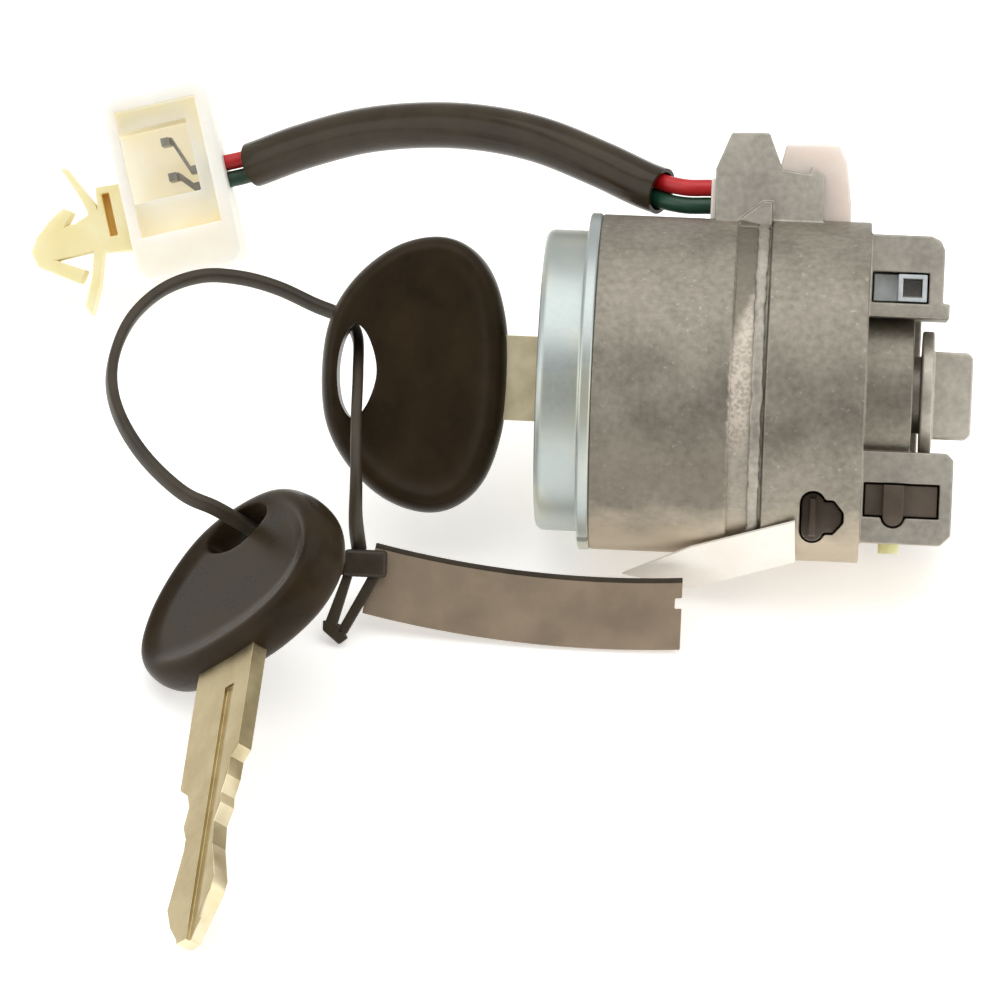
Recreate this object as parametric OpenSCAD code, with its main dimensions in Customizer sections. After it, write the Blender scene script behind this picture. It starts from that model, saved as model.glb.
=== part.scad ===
// Ignition switch: a lock cylinder in a die-cast barrel, with its keys, tag and reminder switch lead.
// Pieces are drawn in the lock's own frame: X along the lock towards the drive tail, Y across the
// key's width towards the side boss, Z out of the key's face. The origin is where the cap's flange
// meets the barrel. The whole then rolls about X to lie on the barrel as it rests on a table.

/* [Barrel] */
// Diameter of the rear band of the barrel
body_d = 40; // [39:0.5:44]
// Length of the plain front band
front_len = 16; // [15:0.5:20]
// Length of the recessed middle band
band_len = 4; // [3:0.5:6]
// Length of the rear band
rear_len = 11.5; // [11:0.5:15]
// Step from the rear band down to the front band
front_step = 0.3; // [0.1:0.1:0.8]
// Step from the front band down to the middle band
band_step = 0.4; // [0.2:0.1:0.8]
// Length of the neck inside the cap
neck_len = 5; // [4.5:0.5:7]
// Length of the hub behind the rear band
hub_len = 5.5; // [5:0.5:8]

/* [Face cap] */
// Diameter of the cap's drum
cap_d = 35.4; // [34.6:0.2:37]
// Thickness of the cap's sheet
cap_sheet = 1.2; // [0.8:0.1:1.6]
// How far the cap's flange lies inside the rear band
flange_in = 0.2; // [0.1:0.05:0.5]
// Thickness of the cap's flange
flange_t = 1.4; // [1:0.1:2]
// Radius of the cap's front edge
cap_edge_r = 1.8; // [1.2:0.1:2.6]

/* [Rotor] */
// Diameter of the turning plug
plug_d = 17; // [16.6:0.2:18]
// Diameter of the nose that shows in the cap
nose_d = 13.4; // [12.6:0.2:14]
// Radial running clearance of turning and sliding rounds
run_gap = 0.06; // [0.03:0.01:0.1]
// Diameter of the drive shaft
shaft_d = 9; // [8:0.5:10]
// Diameter of the disc behind the end wall
disc_d = 15; // [13:0.5:16]
// Thickness of the disc
disc_t = 1.4; // [1:0.1:2]
// Height of the drive tail
tail_h = 10.2; // [9:0.2:11]
// Thickness of the drive tail
tail_t = 6; // [5:0.5:7]
// Length of the drive tail behind the disc
tail_len = 4.6; // [3:0.2:7]
// Number of wafers
wafer_count = 8; // [4:1:8]
// Distance from wafer to wafer
wafer_pitch = 2.7; // [2.2:0.1:2.8]
// Thickness of a wafer
wafer_t = 1.3; // [1:0.1:1.5]
// Width of a wafer
wafer_w = 5.2; // [4.6:0.2:5.6]

/* [Key] */
// Length of the blade beyond the head
blade_len = 38; // [35:0.5:39]
// Width of the blade
blade_w = 10; // [9:0.2:10.4]
// Thickness of the blade
blade_t = 2; // [1.8:0.1:2.4]
// Distance from the cap to the head
head_gap = 4; // [3:0.5:6]
// Length of the head along the blade
head_len = 22; // [21:0.5:25]
// Width of the head
head_w = 32.6; // [30:0.2:34]
// Thickness of the head at its rim
rim_t = 5.8; // [5.4:0.2:6.4]
// Thickness of the head at its dished faces
face_t = 4.6; // [4:0.2:5]
// Length of the loop slot across the head
slot_len = 11.4; // [11:0.2:13]
// Width of the loop slot
slot_w = 4.6; // [4:0.2:5.4]

/* [Reminder switch] */
// Depth of the switch body, away from the boss
switch_depth = 9.5; // [8.5:0.5:12]
// Diameter of the plunger's stem
plunger_d = 3; // [2:0.2:3.6]
// Travel of the plunger
plunger_travel = 1.2; // [0.6:0.1:1.6]
// Thickness of the cast boss
boss_t = 2.6; // [2.4:0.2:4]

/* [Lead] */
// Diameter of a wire
wire_d = 2; // [1.6:0.1:2.1]
// Outer diameter of the sleeve
sleeve_d = 5.6; // [5.6:0.1:6.4]
// Wall of the sleeve
sleeve_wall = 0.45; // [0.3:0.05:0.5]
// Length of the connector along the wires
connector_len = 13; // [12:0.5:16]
// Width of the connector
connector_w = 22.5; // [21:0.5:26]
// Thickness of the connector
connector_t = 11; // [10:0.5:12]
// Thickness of the anchor clip
clip_t = 4.4; // [3:0.2:6]

/* [Tag] */
// Span of the strap's loop, from the lock key's slot to the spare key
loop_span = 40; // [39:0.5:41]
// Length of the tag's flag
flag_len = 36; // [30:1:40]
// Width of the tag's flag
flag_w = 8.4; // [7:0.2:9]
// Thickness of the tag's flag
flag_t = 0.7; // [0.5:0.1:1]
// Width of the strap
strap_w = 1.8; // [1.6:0.1:2.2]
// Thickness of the strap
strap_t = 1.3; // [1:0.1:1.6]

/* [Small parts] */
// Diameter of the detent ball
ball_d = 3; // [2.4:0.2:3.2]
// Travel of the retaining pin
pin_travel = 1.5; // [0.5:0.1:1.8]
// Thickness of the paper slip
slip_t = 0.25; // [0.15:0.05:0.4]
// Roll of the lock on the table
rest_roll = 48; // [40:1:55]

/* [Hidden] */
$fn = 72;

zinc = [0.62, 0.60, 0.56];
steel = [0.80, 0.83, 0.84];
brass = [0.72, 0.66, 0.50];
black = [0.10, 0.09, 0.08];
white = [0.93, 0.91, 0.86];
cream = [0.93, 0.88, 0.68];
yellow = [0.80, 0.78, 0.25];
red = [0.80, 0.10, 0.10];
green = [0.05, 0.28, 0.14];
tag_brown = [0.20, 0.18, 0.15];
paper = [0.95, 0.95, 0.96];

// Stations along the lock
seat_gap = 0.3;
body_len = front_len + band_len + rear_len;
cap_x = -(neck_len + seat_gap + cap_sheet);
hub_end = body_len + hub_len;
plug_end = body_len - 0.5;
disc_x = hub_end + 1;
head_x = cap_x - head_gap;
blade_tip = head_x + blade_len;

// Radii
body_r = body_d / 2;
flange_d = body_d - 2 * flange_in;
front_r = body_r - front_step;
bore_r = plug_d / 2 + run_gap;
neck_r = cap_d / 2 - cap_sheet - 0.1;
hub_r = disc_d / 2 + 1.5;

// Front chamber of the return spring
coil_wire = 1.3;
coil_r = plug_d / 2 + 1.7;
coil_turns = 4;
coil_pitch = 1.45;
chamber_r = coil_r + coil_wire / 2 + 0.3;
chamber_end = 2.4;

// Detent
ball_x = plug_end - 4.6;
ball_out = 0.2;
ball_z = plug_d / 2 + ball_out - ball_d / 2;
groove_r = plug_d / 2 + ball_out + 0.3;
detent_well = ball_z - ball_d / 2 - 2.2;
stops = [0, 35, 70, 105];

// Rear blocks
block_z = 0.35 * body_r;
upper_y = [0.44 * body_r, 0.92 * body_r];
upper_len = 8.6;
lower_y = [-0.88 * body_r, -0.34 * body_r];
lower_len = 10.6;
plate_size = [6.2, 3.2, 1.2];
plate_y = 0.615 * body_r;
stop_size = [8.4, 3.6, 3.6];
stop_rib_x = -0.9;
stop_rib_w = 2.4;
stop_y = -0.625 * body_r;
pocket_gap = 0.2;
pin_hole_d = 2.4;

// Boss and switch on the barrel's side
boss_x = front_len - 3;
boss_z = 1.5;
seat_y = body_r - 0.8;
switch_x = boss_x - 0.5;
switch_z = boss_z - switch_depth / 2;
plunger_x = boss_x + 11.2;
collar_d = plunger_d + 1.4;
collar_t = 1.2;
switch_floor = 1.4;
switch_len = 16.5;
switch_h = 9.7;
switch_shape = [[0, 0], [1, 0], [1, 0.27], [0.96, 0.78], [0.9, 1], [0.52, 0.98], [0.46, 0.54], [0, 0.54]];
collar_y = seat_y + switch_floor + 0.2;
spring_room = 4;
cavity_top = collar_y + collar_t + plunger_travel + spring_room;
plunger_tip = plug_d / 2 + 0.4;

// Retaining pin pocket
latch_x = body_len - 5.5;
latch_y = -body_r * 0.74;
latch_floor = 5;
latch_spring = pin_travel + 0.5;
latch_top = 10.6;

// Lead route, from inside the switch to inside the connector, in lock coordinates
lead_y = 22.4;
lead_z = -3.2;
lead_gap = 0.1;
wire_off = (wire_d + lead_gap) / 2;
entry_r = wire_d / 2 + 0.2;
connector_at = [-54, 22.8, -34];
connector_turn = 15;
lead_bends = [[16, 22.4, -3.2], [12.5, 22.4, -3.2], [9, 22.4, -4], [5, 23.4, -6], [-1, 26, -9],
              [-8.5, 28.8, -13], [-16, 30.2, -17], [-23.5, 30.4, -21], [-31, 29.6, -25.5],
              [-38.5, 27.6, -30], [-44.5, 25.4, -33.4]];
wire_in = 3;
lead_ends = [for (x = [connector_len / 2, connector_len / 2 - wire_in])
    connector_at + about_z([x, 0, 0], connector_turn)];
lead_route = concat(lead_bends, lead_ends);
lead_steps = 3;
sleeve_span = [8, 30];

// Spare key, placed by the middle of its head from the loop slot of the key in the lock
slot_x = head_x - head_len + 2 + slot_w / 2;
loop_k = loop_span / 40;
spare_at = [slot_x, 0, 0] + loop_k * [-10.7, -25.6, 18.8];
spare_turn = [50, -36, -93];

// Tag, in lock coordinates from the loop slot
tag_z = 5.4;
flag_arc_r = 126;
flag_start = slot_x + 3.4 * loop_k;
flag_mid = flag_start + 0.744 * flag_len;
flag_top = -22.9 * loop_k;
tag_block = [5, 3.2, 4];
tag_block_at = [slot_x + 2.3 * loop_k, -22.5 * loop_k, tag_z];
loop_centre = [slot_x, 0, 0] + loop_k * [-14, -5, 5];

// Vector and curve helpers
function unit(v) = v / norm(v);
function about_x(v, a) = [v[0], v[1] * cos(a) - v[2] * sin(a), v[1] * sin(a) + v[2] * cos(a)];
function about_y(v, a) = [v[0] * cos(a) + v[2] * sin(a), v[1], v[2] * cos(a) - v[0] * sin(a)];
function about_z(v, a) = [v[0] * cos(a) - v[1] * sin(a), v[0] * sin(a) + v[1] * cos(a), v[2]];
function turned(v, a) = about_z(about_y(about_x(v, a[0]), a[1]), a[2]);
function curve_point(a, b, c, d, t) =
    0.5 * (2 * b + (c - a) * t + (2 * a - 5 * b + 4 * c - d) * t * t
           + (3 * b - a - 3 * c + d) * t * t * t);
function open_curve(p, steps) = let (n = len(p))
    [for (i = [0 : n - 2], k = [0 : steps - 1])
        curve_point(p[max(i - 1, 0)], p[i], p[i + 1], p[min(i + 2, n - 1)], k / steps),
     p[n - 1]];
function closed_curve(p, steps) = let (n = len(p))
    [for (i = [0 : n - 1], k = [0 : steps - 1])
        curve_point(p[(i + n - 1) % n], p[i], p[(i + 1) % n], p[(i + 2) % n], k / steps)];
function heading(p, i) = unit(p[min(i + 1, len(p) - 1)] - p[max(i - 1, 0)]);
function across(p, i, ref) = unit(cross(ref, heading(p, i)));
function upward(p, i, ref) = cross(heading(p, i), across(p, i, ref));
function ring(p, i, ref, section) =
    [for (q = section) p[i] + q[0] * across(p, i, ref) + q[1] * upward(p, i, ref)];
function round_section(r, sides, lift) =
    [for (k = [0 : sides - 1]) [r * cos(360 * k / sides), r * sin(360 * k / sides) + lift]];
function mirrored(half) = concat(half, [for (i = [len(half) - 2 : -1 : 1]) [half[i][0], -half[i][1]]]);

// Skin over equal rings of points, closed by its end rings
module skin(rings) {
    n = len(rings[0]);
    last = len(rings) - 1;
    points = [for (r = rings, q = r) q];
    sides = [for (i = [0 : last - 1], k = [0 : n - 1])
        [i * n + k, (i + 1) * n + k, (i + 1) * n + (k + 1) % n, i * n + (k + 1) % n]];
    start = [for (k = [0 : n - 1]) k];
    end = [for (k = [n - 1 : -1 : 0]) last * n + k];
    polyhedron(points, concat(sides, [start, end]), convexity = 10);
}

// Coil spring along Z, from z = 0 to its full length, with closed flat-cut ends
module coil(r, wire, length, turns, per_turn, sides) {
    count = turns * per_turn;
    path = [for (i = [0 : count])
        [r * cos(360 * i / per_turn), r * sin(360 * i / per_turn),
         wire / 2 + (length - wire) * i / count]];
    skin([for (i = [0 : count])
        ring(path, i, [0, 0, 1], round_section(wire / 2, sides, 0))]);
}

// Round stock along X
module rod(x0, x1, r) {
    translate([x0, 0, 0]) rotate([0, 90, 0]) cylinder(h = x1 - x0, r = r);
}

// The lock's frame as it lies on the table
module lie() {
    rotate([rest_roll, 0, 0]) children();
}

// Box given by its lowest and highest corners
module block(a, b) {
    translate(a) cube(b - a);
}

// Outline of the boss, seen along Z, from the barrel's side outwards
module boss_outline() {
    foot = body_r - 4;
    polygon([[boss_x + 0.2, foot], [boss_x, body_r + 5.4], [boss_x + 1.7, body_r + 9.7],
             [boss_x + 6.1, body_r + 9.8], [boss_x + 7.8, body_r + 5.6], [boss_x + 11, body_r + 5.2],
             [boss_x + 11.2, body_r + 6.2], [boss_x + 12.7, body_r + 5.2], [boss_x + 12.8, foot]]);
}

// Keyhole-shaped outline of the retaining pin, grown by a clearance
module latch_outline(grow) {
    half_w = 1.3 + grow;
    half_h = 2.8 + grow;
    wing = 2.4;
    for (s = [-1, 1]) translate([0, s * (half_h - half_w)]) circle(half_w);
    square([2 * half_w, 2 * (half_h - half_w)], center = true);
    polygon([[0, wing / 2 + grow + 0.6], [wing, wing / 2 + grow + 0.6], [wing + 1 + grow, wing / 4],
             [wing + 1 + grow, -wing / 4], [wing, -wing / 2 - grow - 0.6], [0, -wing / 2 - grow - 0.6]]);
}

module upper_block() {
    x1 = body_len + upper_len;
    translate([0, 0, -block_z]) linear_extrude(2 * block_z)
        polygon([[body_len - 1, upper_y[0]], [x1 + 0.8, upper_y[0]], [x1 + 0.8, upper_y[0] + 1.8],
                 [x1, upper_y[0] + 1.8], [x1, upper_y[1] - 1.6], [x1 - 0.5, upper_y[1] - 0.5],
                 [x1 - 1.6, upper_y[1]], [body_len - 1, upper_y[1]]]);
}

module lower_block() {
    x1 = body_len + lower_len;
    translate([0, 0, -block_z]) linear_extrude(2 * block_z)
        polygon([[body_len - 1, lower_y[0]], [x1 - 1.2, lower_y[0]], [x1, lower_y[0] + 1.2],
                 [x1, lower_y[1] - 0.8], [x1 - 0.8, lower_y[1]], [body_len - 1, lower_y[1]]]);
}

// Outline of the rear stop: a bar with a rounded tab, grown by a clearance
module stop_outline(grow) {
    square([stop_size[0] + 2 * grow, stop_size[1] + 2 * grow], center = true);
    translate([stop_rib_x, -stop_size[1] / 2]) circle(stop_rib_w / 2 + grow);
}

stop_at = [body_len + 0.5 + stop_size[0] / 2, stop_y, block_z - 0.5 - stop_size[2]];
plate_at = [body_len + 0.5 + plate_size[0] / 2, plate_y, block_z - 3.3];

module housing() {
    color(zinc) lie() difference() {
        union() {
            rod(-neck_len, 1, neck_r);
            rod(0, front_len, front_r);
            rod(front_len - 0.5, front_len + band_len + 0.5, front_r - band_step);
            rod(front_len + band_len, body_len, body_r);
            rod(body_len - 1, hub_end, hub_r);
            upper_block();
            lower_block();
            // Boss with its gusset
            translate([0, 0, boss_z]) linear_extrude(boss_t) boss_outline();
            translate([boss_x, body_r, boss_z]) linear_extrude(boss_t + 0.8)
                polygon([[3, -0.4], [5.8, 1.8], [6.8, 1.8], [6.8, -2], [3, -2]]);
            // Web behind the disc, in the gap between the two blocks
            block([body_len - 1, lower_y[1] - 1, -block_z - 4],
                  [hub_end + 0.9, upper_y[0] + 1, -disc_d / 2 - 0.7]);
            // Cast lug under the middle band
            block([front_len + 2.5, -body_r - 1.2, -3], [front_len + 5, -body_r + 2, 3]);
        }
        // Spring chamber, plug bore, shaft bore and detent groove
        rod(-neck_len - 1, chamber_end, chamber_r);
        rod(-1, body_len, bore_r);
        rod(body_len - 1, hub_end + 1, shaft_d / 2 + run_gap);
        rod(ball_x - ball_d / 2 - 0.3, ball_x + ball_d / 2 + 0.3, groove_r);
        for (a = stops) rotate([a, 0, 0]) translate([ball_x, 0, groove_r - 0.5]) cylinder(h = 1, r = 1.1);
        // Room for the disc and the tail
        rod(hub_end, hub_end + 8, disc_d / 2 + 0.4);
        // Seat of the reminder switch and its plunger hole
        block([switch_x - 0.5, seat_y, -body_r], [switch_x + switch_len + 1, body_r + 1, boss_z]);
        translate([plunger_x, 0, switch_z]) rotate([-90, 0, 0])
            cylinder(h = body_r + 1, r = plunger_d / 2 + run_gap);
        // Retaining pin pocket
        translate([latch_x, latch_y, latch_floor]) linear_extrude(body_r) latch_outline(0.2);
        // Pockets of the plate, the stop and the stop pin in the rear blocks
        translate(plate_at - [plate_size[0] / 2 + pocket_gap, plate_size[1] / 2 + pocket_gap, 0])
            cube([plate_size[0] + 2 * pocket_gap, plate_size[1] + 2 * pocket_gap, block_z]);
        translate(stop_at) linear_extrude(block_z) stop_outline(pocket_gap);
        translate([stop_at[0] - 1.2, lower_y[0] - 1, -1]) rotate([-90, 0, 0])
            cylinder(h = 3.4, r = pin_hole_d / 2 + run_gap);
    }
}

module face_cap() {
    r = cap_d / 2;
    depth = -cap_x;
    edge = [for (a = [0 : 15 : 90])
        [r - cap_edge_r + cap_edge_r * sin(a), depth - cap_edge_r + cap_edge_r * cos(a)]];
    inner = max(cap_edge_r - cap_sheet, 0.1);
    inside = [for (a = [90 : -30 : 0])
        [r - cap_sheet - inner + inner * sin(a), depth - cap_sheet - inner + inner * cos(a)]];
    color(steel) lie() difference() {
        rotate([0, -90, 0]) rotate_extrude()
            polygon(concat([[nose_d / 2 + seat_gap, depth]], edge,
                           [[r, flange_t], [flange_d / 2, flange_t], [flange_d / 2, 0], [r - cap_sheet, 0]],
                           inside, [[nose_d / 2 + seat_gap, depth - cap_sheet]]));
        // Small gap in the flange's edge
        block([-flange_t - 1, -flange_d, 6], [1, -flange_d / 2 + 2, 7.4]);
    }
}

module return_spring() {
    length = coil_turns * coil_pitch + coil_wire;
    color(steel) lie() translate([chamber_end - 0.3, 0, 0]) rotate([0, -90, 0])
        coil(coil_r, coil_wire, length, coil_turns, 14, 6);
}

wafer_start = 3;

// Places its child at each wafer along the plug
module at_wafers() {
    for (i = [0 : wafer_count - 1]) translate([wafer_start + i * wafer_pitch, 0, 0]) children();
}

module rotor() {
    color(zinc) lie() difference() {
        union() {
            rod(-neck_len + 0.4, plug_end, plug_d / 2);
            rod(cap_x + 0.3, 0, nose_d / 2);
        }
        // Key slot
        block([cap_x - 1, -blade_w / 2 - 0.15, -blade_t / 2 - 0.2],
              [blade_tip + 0.8, blade_w / 2 + 0.15, blade_t / 2 + 0.2]);
        // Wafer slots with a pocket for each spring
        at_wafers() {
            cube([wafer_t + 0.1, plug_d + 2, wafer_w + 0.1], center = true);
            block([-0.75, -3.8, 0], [0.75, 3.8, wafer_w / 2 + 1.8]);
        }
        // Detent well
        translate([ball_x, 0, detent_well]) cylinder(h = plug_d, r = ball_d / 2 + run_gap);
    }
}

module wafers() {
    reach = sqrt(pow(plug_d / 2, 2) - pow(wafer_w / 2, 2)) - 0.2;
    color(brass) lie() at_wafers() rotate([0, 90, 0]) translate([0, 0, -wafer_t / 2])
        linear_extrude(wafer_t) difference() {
            union() {
                square([wafer_w, 2 * reach], center = true);
                translate([-wafer_w / 2 - 1.5, 2.3]) square([2, 1.2]);
            }
            square([blade_t + 0.6, blade_w + 0.4], center = true);
        }
}

module wafer_springs() {
    color(steel) lie() at_wafers() translate([0, -3.7, wafer_w / 2 + 0.85]) rotate([-90, 0, 0])
        coil(0.45, 0.25, 5.9, 5, 6, 4);
}

module detent_ball() {
    color(steel) lie() translate([ball_x, 0, ball_z]) sphere(ball_d / 2);
}

module detent_spring() {
    length = ball_z - ball_d / 2 - detent_well;
    color(steel) lie() translate([ball_x, 0, detent_well])
        coil(ball_d / 2 - 0.5, 0.4, length, 3, 10, 5);
}

module drive_tail() {
    x1 = disc_x + disc_t + tail_len;
    color(zinc) lie() {
        rod(plug_end, disc_x + 0.5, shaft_d / 2);
        rod(disc_x, disc_x + disc_t, disc_d / 2);
        // Flat tail with chamfered end
        translate([0, 0, -tail_t / 2]) linear_extrude(tail_t)
            polygon([[disc_x + 0.5, -tail_h / 2], [x1 - 0.6, -tail_h / 2], [x1, -tail_h / 2 + 0.6],
                     [x1, tail_h / 2 - 0.6], [x1 - 0.6, tail_h / 2], [disc_x + 0.5, tail_h / 2]]);
    }
}

module retaining_pin() {
    color(black) lie() translate([latch_x, latch_y, latch_floor + latch_spring]) {
        linear_extrude(latch_top - latch_floor - latch_spring) latch_outline(0);
        // Grip ridge along the middle
        translate([-0.4, -2.2, 0]) cube([0.8, 4.4, latch_top - latch_floor - latch_spring + 0.8]);
    }
}

module retaining_pin_spring() {
    color(steel) lie() translate([latch_x, latch_y, latch_floor])
        coil(0.9, 0.35, latch_spring, 3, 8, 5);
}

module retainer_plate() {
    eye = plate_size[1] + 0.2;
    color(steel) lie() translate(plate_at) {
        translate([0, 0, plate_size[2] / 2]) cube(plate_size, center = true);
        // Raised square eye at the outer end
        translate([plate_size[0] / 2 - eye / 2, 0, plate_size[2] + 0.9]) difference() {
            cube([eye, plate_size[1], 2], center = true);
            cube([eye - 1.2, plate_size[1] - 1.2, 3], center = true);
        }
    }
}

module rear_stop() {
    color(black) lie() translate(stop_at) {
        linear_extrude(stop_size[2]) stop_outline(0);
        // Rounded rib across the middle
        translate([stop_rib_x, 0, 0]) linear_extrude(stop_size[2] + 0.7) {
            square([stop_rib_w, stop_size[1]], center = true);
            translate([0, -stop_size[1] / 2]) circle(stop_rib_w / 2);
        }
    }
}

module stop_pin() {
    color(yellow) lie() translate([stop_at[0] - 1.2, lower_y[0] - 1.2, -1]) rotate([-90, 0, 0])
        cylinder(h = 3.5, r = pin_hole_d / 2);
}

module switch_body() {
    x0 = switch_x;
    y0 = seat_y;
    color(white) lie() difference() {
        translate([0, 0, boss_z - switch_depth]) linear_extrude(switch_depth)
            polygon([for (q = switch_shape) [x0 + q[0] * switch_len, y0 + q[1] * switch_h]]);
        // Contact cavity, plunger hole and wire entries
        block([plunger_x - 2.6, y0 + switch_floor, boss_z - switch_depth + 1.2],
              [plunger_x + 2.6, cavity_top, boss_z - 1.2]);
        translate([plunger_x, y0 - 1, switch_z]) rotate([-90, 0, 0])
            cylinder(h = switch_floor + 2, r = plunger_d / 2 + run_gap);
        for (s = [-1, 1]) translate([0, lead_y + s * wire_off, lead_z]) rod(x0 - 1, 16.5, entry_r);
    }
}

module switch_plunger() {
    color(black) lie() translate([plunger_x, 0, switch_z]) rotate([-90, 0, 0]) {
        translate([0, 0, plunger_tip]) cylinder(h = collar_y + collar_t - plunger_tip, r = plunger_d / 2);
        translate([0, 0, collar_y]) cylinder(h = collar_t, r = collar_d / 2);
    }
}

module plunger_spring() {
    start = collar_y + collar_t;
    color(steel) lie() translate([plunger_x, start, switch_z]) rotate([-90, 0, 0])
        coil(1.4, 0.4, cavity_top - start, 5, 10, 5);
}

module switch_contacts() {
    gap = switch_depth / 2 - 1.2;
    color(brass) lie() for (s = [-1, 1])
        translate([plunger_x, (seat_y + switch_floor + cavity_top) / 2, switch_z + s * (gap - 0.3)])
            cube([3.6, cavity_top - seat_y - switch_floor - 0.4, 0.4], center = true);
}

// The lead's centre line
lead_path = open_curve(lead_route, lead_steps);

module lead_wire(side) {
    lift = side * wire_off;
    skin([for (i = [0 : len(lead_path) - 1])
        ring(lead_path, i, [0, 1, 0], round_section(wire_d / 2, 8, lift))]);
}

module wire_red() {
    color(red) lie() lead_wire(1);
}

module wire_green() {
    color(green) lie() lead_wire(-1);
}

// Hollow tube: an outer and an inner skin joined by a flat wall at each end
module wire_sleeve() {
    sides = 12;
    n = sides * (sleeve_span[1] - sleeve_span[0] + 1);
    last = n - sides;
    radii = [sleeve_d / 2, sleeve_d / 2 - sleeve_wall];
    points = [for (r = radii, i = [sleeve_span[0] : sleeve_span[1]],
                   q = ring(lead_path, i, [0, 1, 0], round_section(r, sides, 0))) q];
    outer = [for (i = [0 : sides : last - 1], k = [0 : sides - 1])
        [i + k, i + sides + k, i + sides + (k + 1) % sides, i + (k + 1) % sides]];
    inner = [for (f = outer) [n + f[3], n + f[2], n + f[1], n + f[0]]];
    start = [for (k = [0 : sides - 1]) [k, (k + 1) % sides, n + (k + 1) % sides, n + k]];
    end = [for (k = [0 : sides - 1])
        [last + (k + 1) % sides, last + k, n + last + k, n + last + (k + 1) % sides]];
    color(black) lie() polyhedron(points, concat(outer, inner, start, end), convexity = 10);
}

// The connector's frame: X back along the wires, Y along its width
module at_connector() {
    translate(connector_at) rotate([0, 0, connector_turn]) children();
}

cavity_w = 9;
terminal_off = 2.2;
terminal_depth = 6;
terminal_t = 1;
cavity_y = connector_w / 8;
window_depth = 2.2;
clip_y = -4.5;

module connector_body() {
    l = connector_len / 2;
    w = connector_w / 2;
    c = 1.2;
    color(white) lie() at_connector() difference() {
        union() {
            translate([0, 0, -connector_t / 2]) linear_extrude(connector_t)
                polygon([[-l + c, -w], [l - c, -w], [l, -w + c], [l, w - c], [l - c, w], [-l + c, w],
                         [-l, w - c], [-l, -w + c]]);
            // Latch ridge on the back face
            block([-l + 2, -2, -connector_t / 2 - 0.8], [l - 3, 2, -connector_t / 2 + 0.5]);
        }
        // Mating cavity, open away from the wires
        block([-l - 1, cavity_y - cavity_w / 2, -connector_t / 2 + 1.2],
              [l - 3.4, cavity_y + cavity_w / 2, connector_t / 2 - 1.2]);
        // Window in the front face, over the cavity and its terminals
        block([-l + 1.3, -w + 5.2, connector_t / 2 - window_depth], [l - 1.6, w - 1.6, connector_t]);
        // Wire entries and terminal passages
        for (s = [-1, 1]) translate([0, s * wire_off, 0]) {
            rod(l - wire_in - 0.2, l + 1, entry_r);
            block([l - wire_in - 1, -0.6, -1.2], [l - wire_in, 0.6, 1.2]);
        }
    }
}

// Two strips that bend from the cavity's pitch to the wires' pitch, each with an upturned contact
module terminals() {
    l = connector_len / 2;
    x0 = -l + terminal_depth;
    x1 = l - wire_in - 0.1;
    h = terminal_t / 2;
    color(steel) lie() at_connector() for (s = [-1, 1]) {
        front_y = cavity_y + s * terminal_off;
        rear_y = s * wire_off;
        translate([0, 0, -1.1]) linear_extrude(2.2)
            polygon([[x0, front_y - h], [x0 + 1.2, front_y - h], [x1 - 1.2, rear_y - h], [x1, rear_y - h],
                     [x1, rear_y + h], [x1 - 1.2, rear_y + h], [x0 + 1.2, front_y + h], [x0, front_y + h]]);
        translate([0, front_y, 0])
            block([x0, -h, 0], [x0 + 1, h, connector_t / 2 - window_depth - 0.3]);
    }
}

// Arrowhead clip in one moulding: foot, stem, springy barbs and a thin pressing flange
module anchor_clip() {
    foot_x = -connector_len / 2;
    color(cream) lie() at_connector() translate([foot_x, clip_y, -clip_t / 2]) {
        difference() {
            linear_extrude(clip_t) polygon([[0, -2.6], [0, 5.8], [-3.2, 6], [-4, -2]]);
            block([-2.6, -0.3, clip_t - 1.6], [-1.7, 5, clip_t + 1]);
        }
        // Stem and arrowhead
        linear_extrude(clip_t)
            polygon([[-3.4, -1.6], [-3.4, 3.4], [-6.6, 2.2], [-7.8, 2.1], [-6.5, 3.6], [-7.6, 4.4],
                     [-9.6, 3.2], [-11.6, 1.5], [-12.6, -0.1], [-12.1, -2.1], [-7.5, -5.2], [-6.4, -3.7],
                     [-9.8, -1.7]]);
        // Springy wings
        linear_extrude(clip_t)
            polygon([[-3.6, 2.6], [-3.6, 3.8], [-6.2, 9.1], [-6.9, 9.2], [-5.2, 5], [-4.6, 2.4]]);
        linear_extrude(clip_t)
            polygon([[-3.8, -0.8], [-3.9, -1.8], [-5.2, -5.8], [-7, -9.3], [-7.5, -8], [-5.9, -4.6],
                     [-4.8, -0.8]]);
    }
}

// Outline of the key's head, as shares of its length and half width
head_half = [[0, 0], [0.02, 0.4], [0.1, 0.74], [0.24, 0.94], [0.42, 1], [0.64, 0.91], [0.84, 0.68],
             [0.965, 0.38], [1, 0]];
head_edge = closed_curve([for (q = mirrored(head_half))
    [head_x - q[0] * head_len, q[1] * head_w / 2]], 3);
slot_half = [[-0.5, 0], [-0.4, 0.3], [-0.12, 0.48], [0.16, 0.42], [0.4, 0.22], [0.5, 0]];
slot_edge = closed_curve([for (q = mirrored(slot_half)) [slot_x + q[0] * slot_w, q[1] * slot_len]], 3);
// Section of the head from its edge to its face: how far in, and how high
head_section = [[0, 0], [0.036, 0.4], [0.12, 0.72], [0.24, 0.92], [0.38, 1], [0.52, 0.97]];
head_dish = [[0.69, 0.4], [0.857, 0.12], [1, 0]];
rim_w = 4.2;
blade_root = 7;

function inset_edge(p, d) = let (n = len(p))
    [for (i = [0 : n - 1]) let (t = unit(p[(i + 1) % n] - p[(i + n - 1) % n])) p[i] + d * [-t[1], t[0]]];
function head_ring(inset, z) = let (turn = head_edge[1][1] > 0 ? 1 : -1)
    [for (q = inset_edge(head_edge, turn * inset)) [q[0], q[1], z]];

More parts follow.
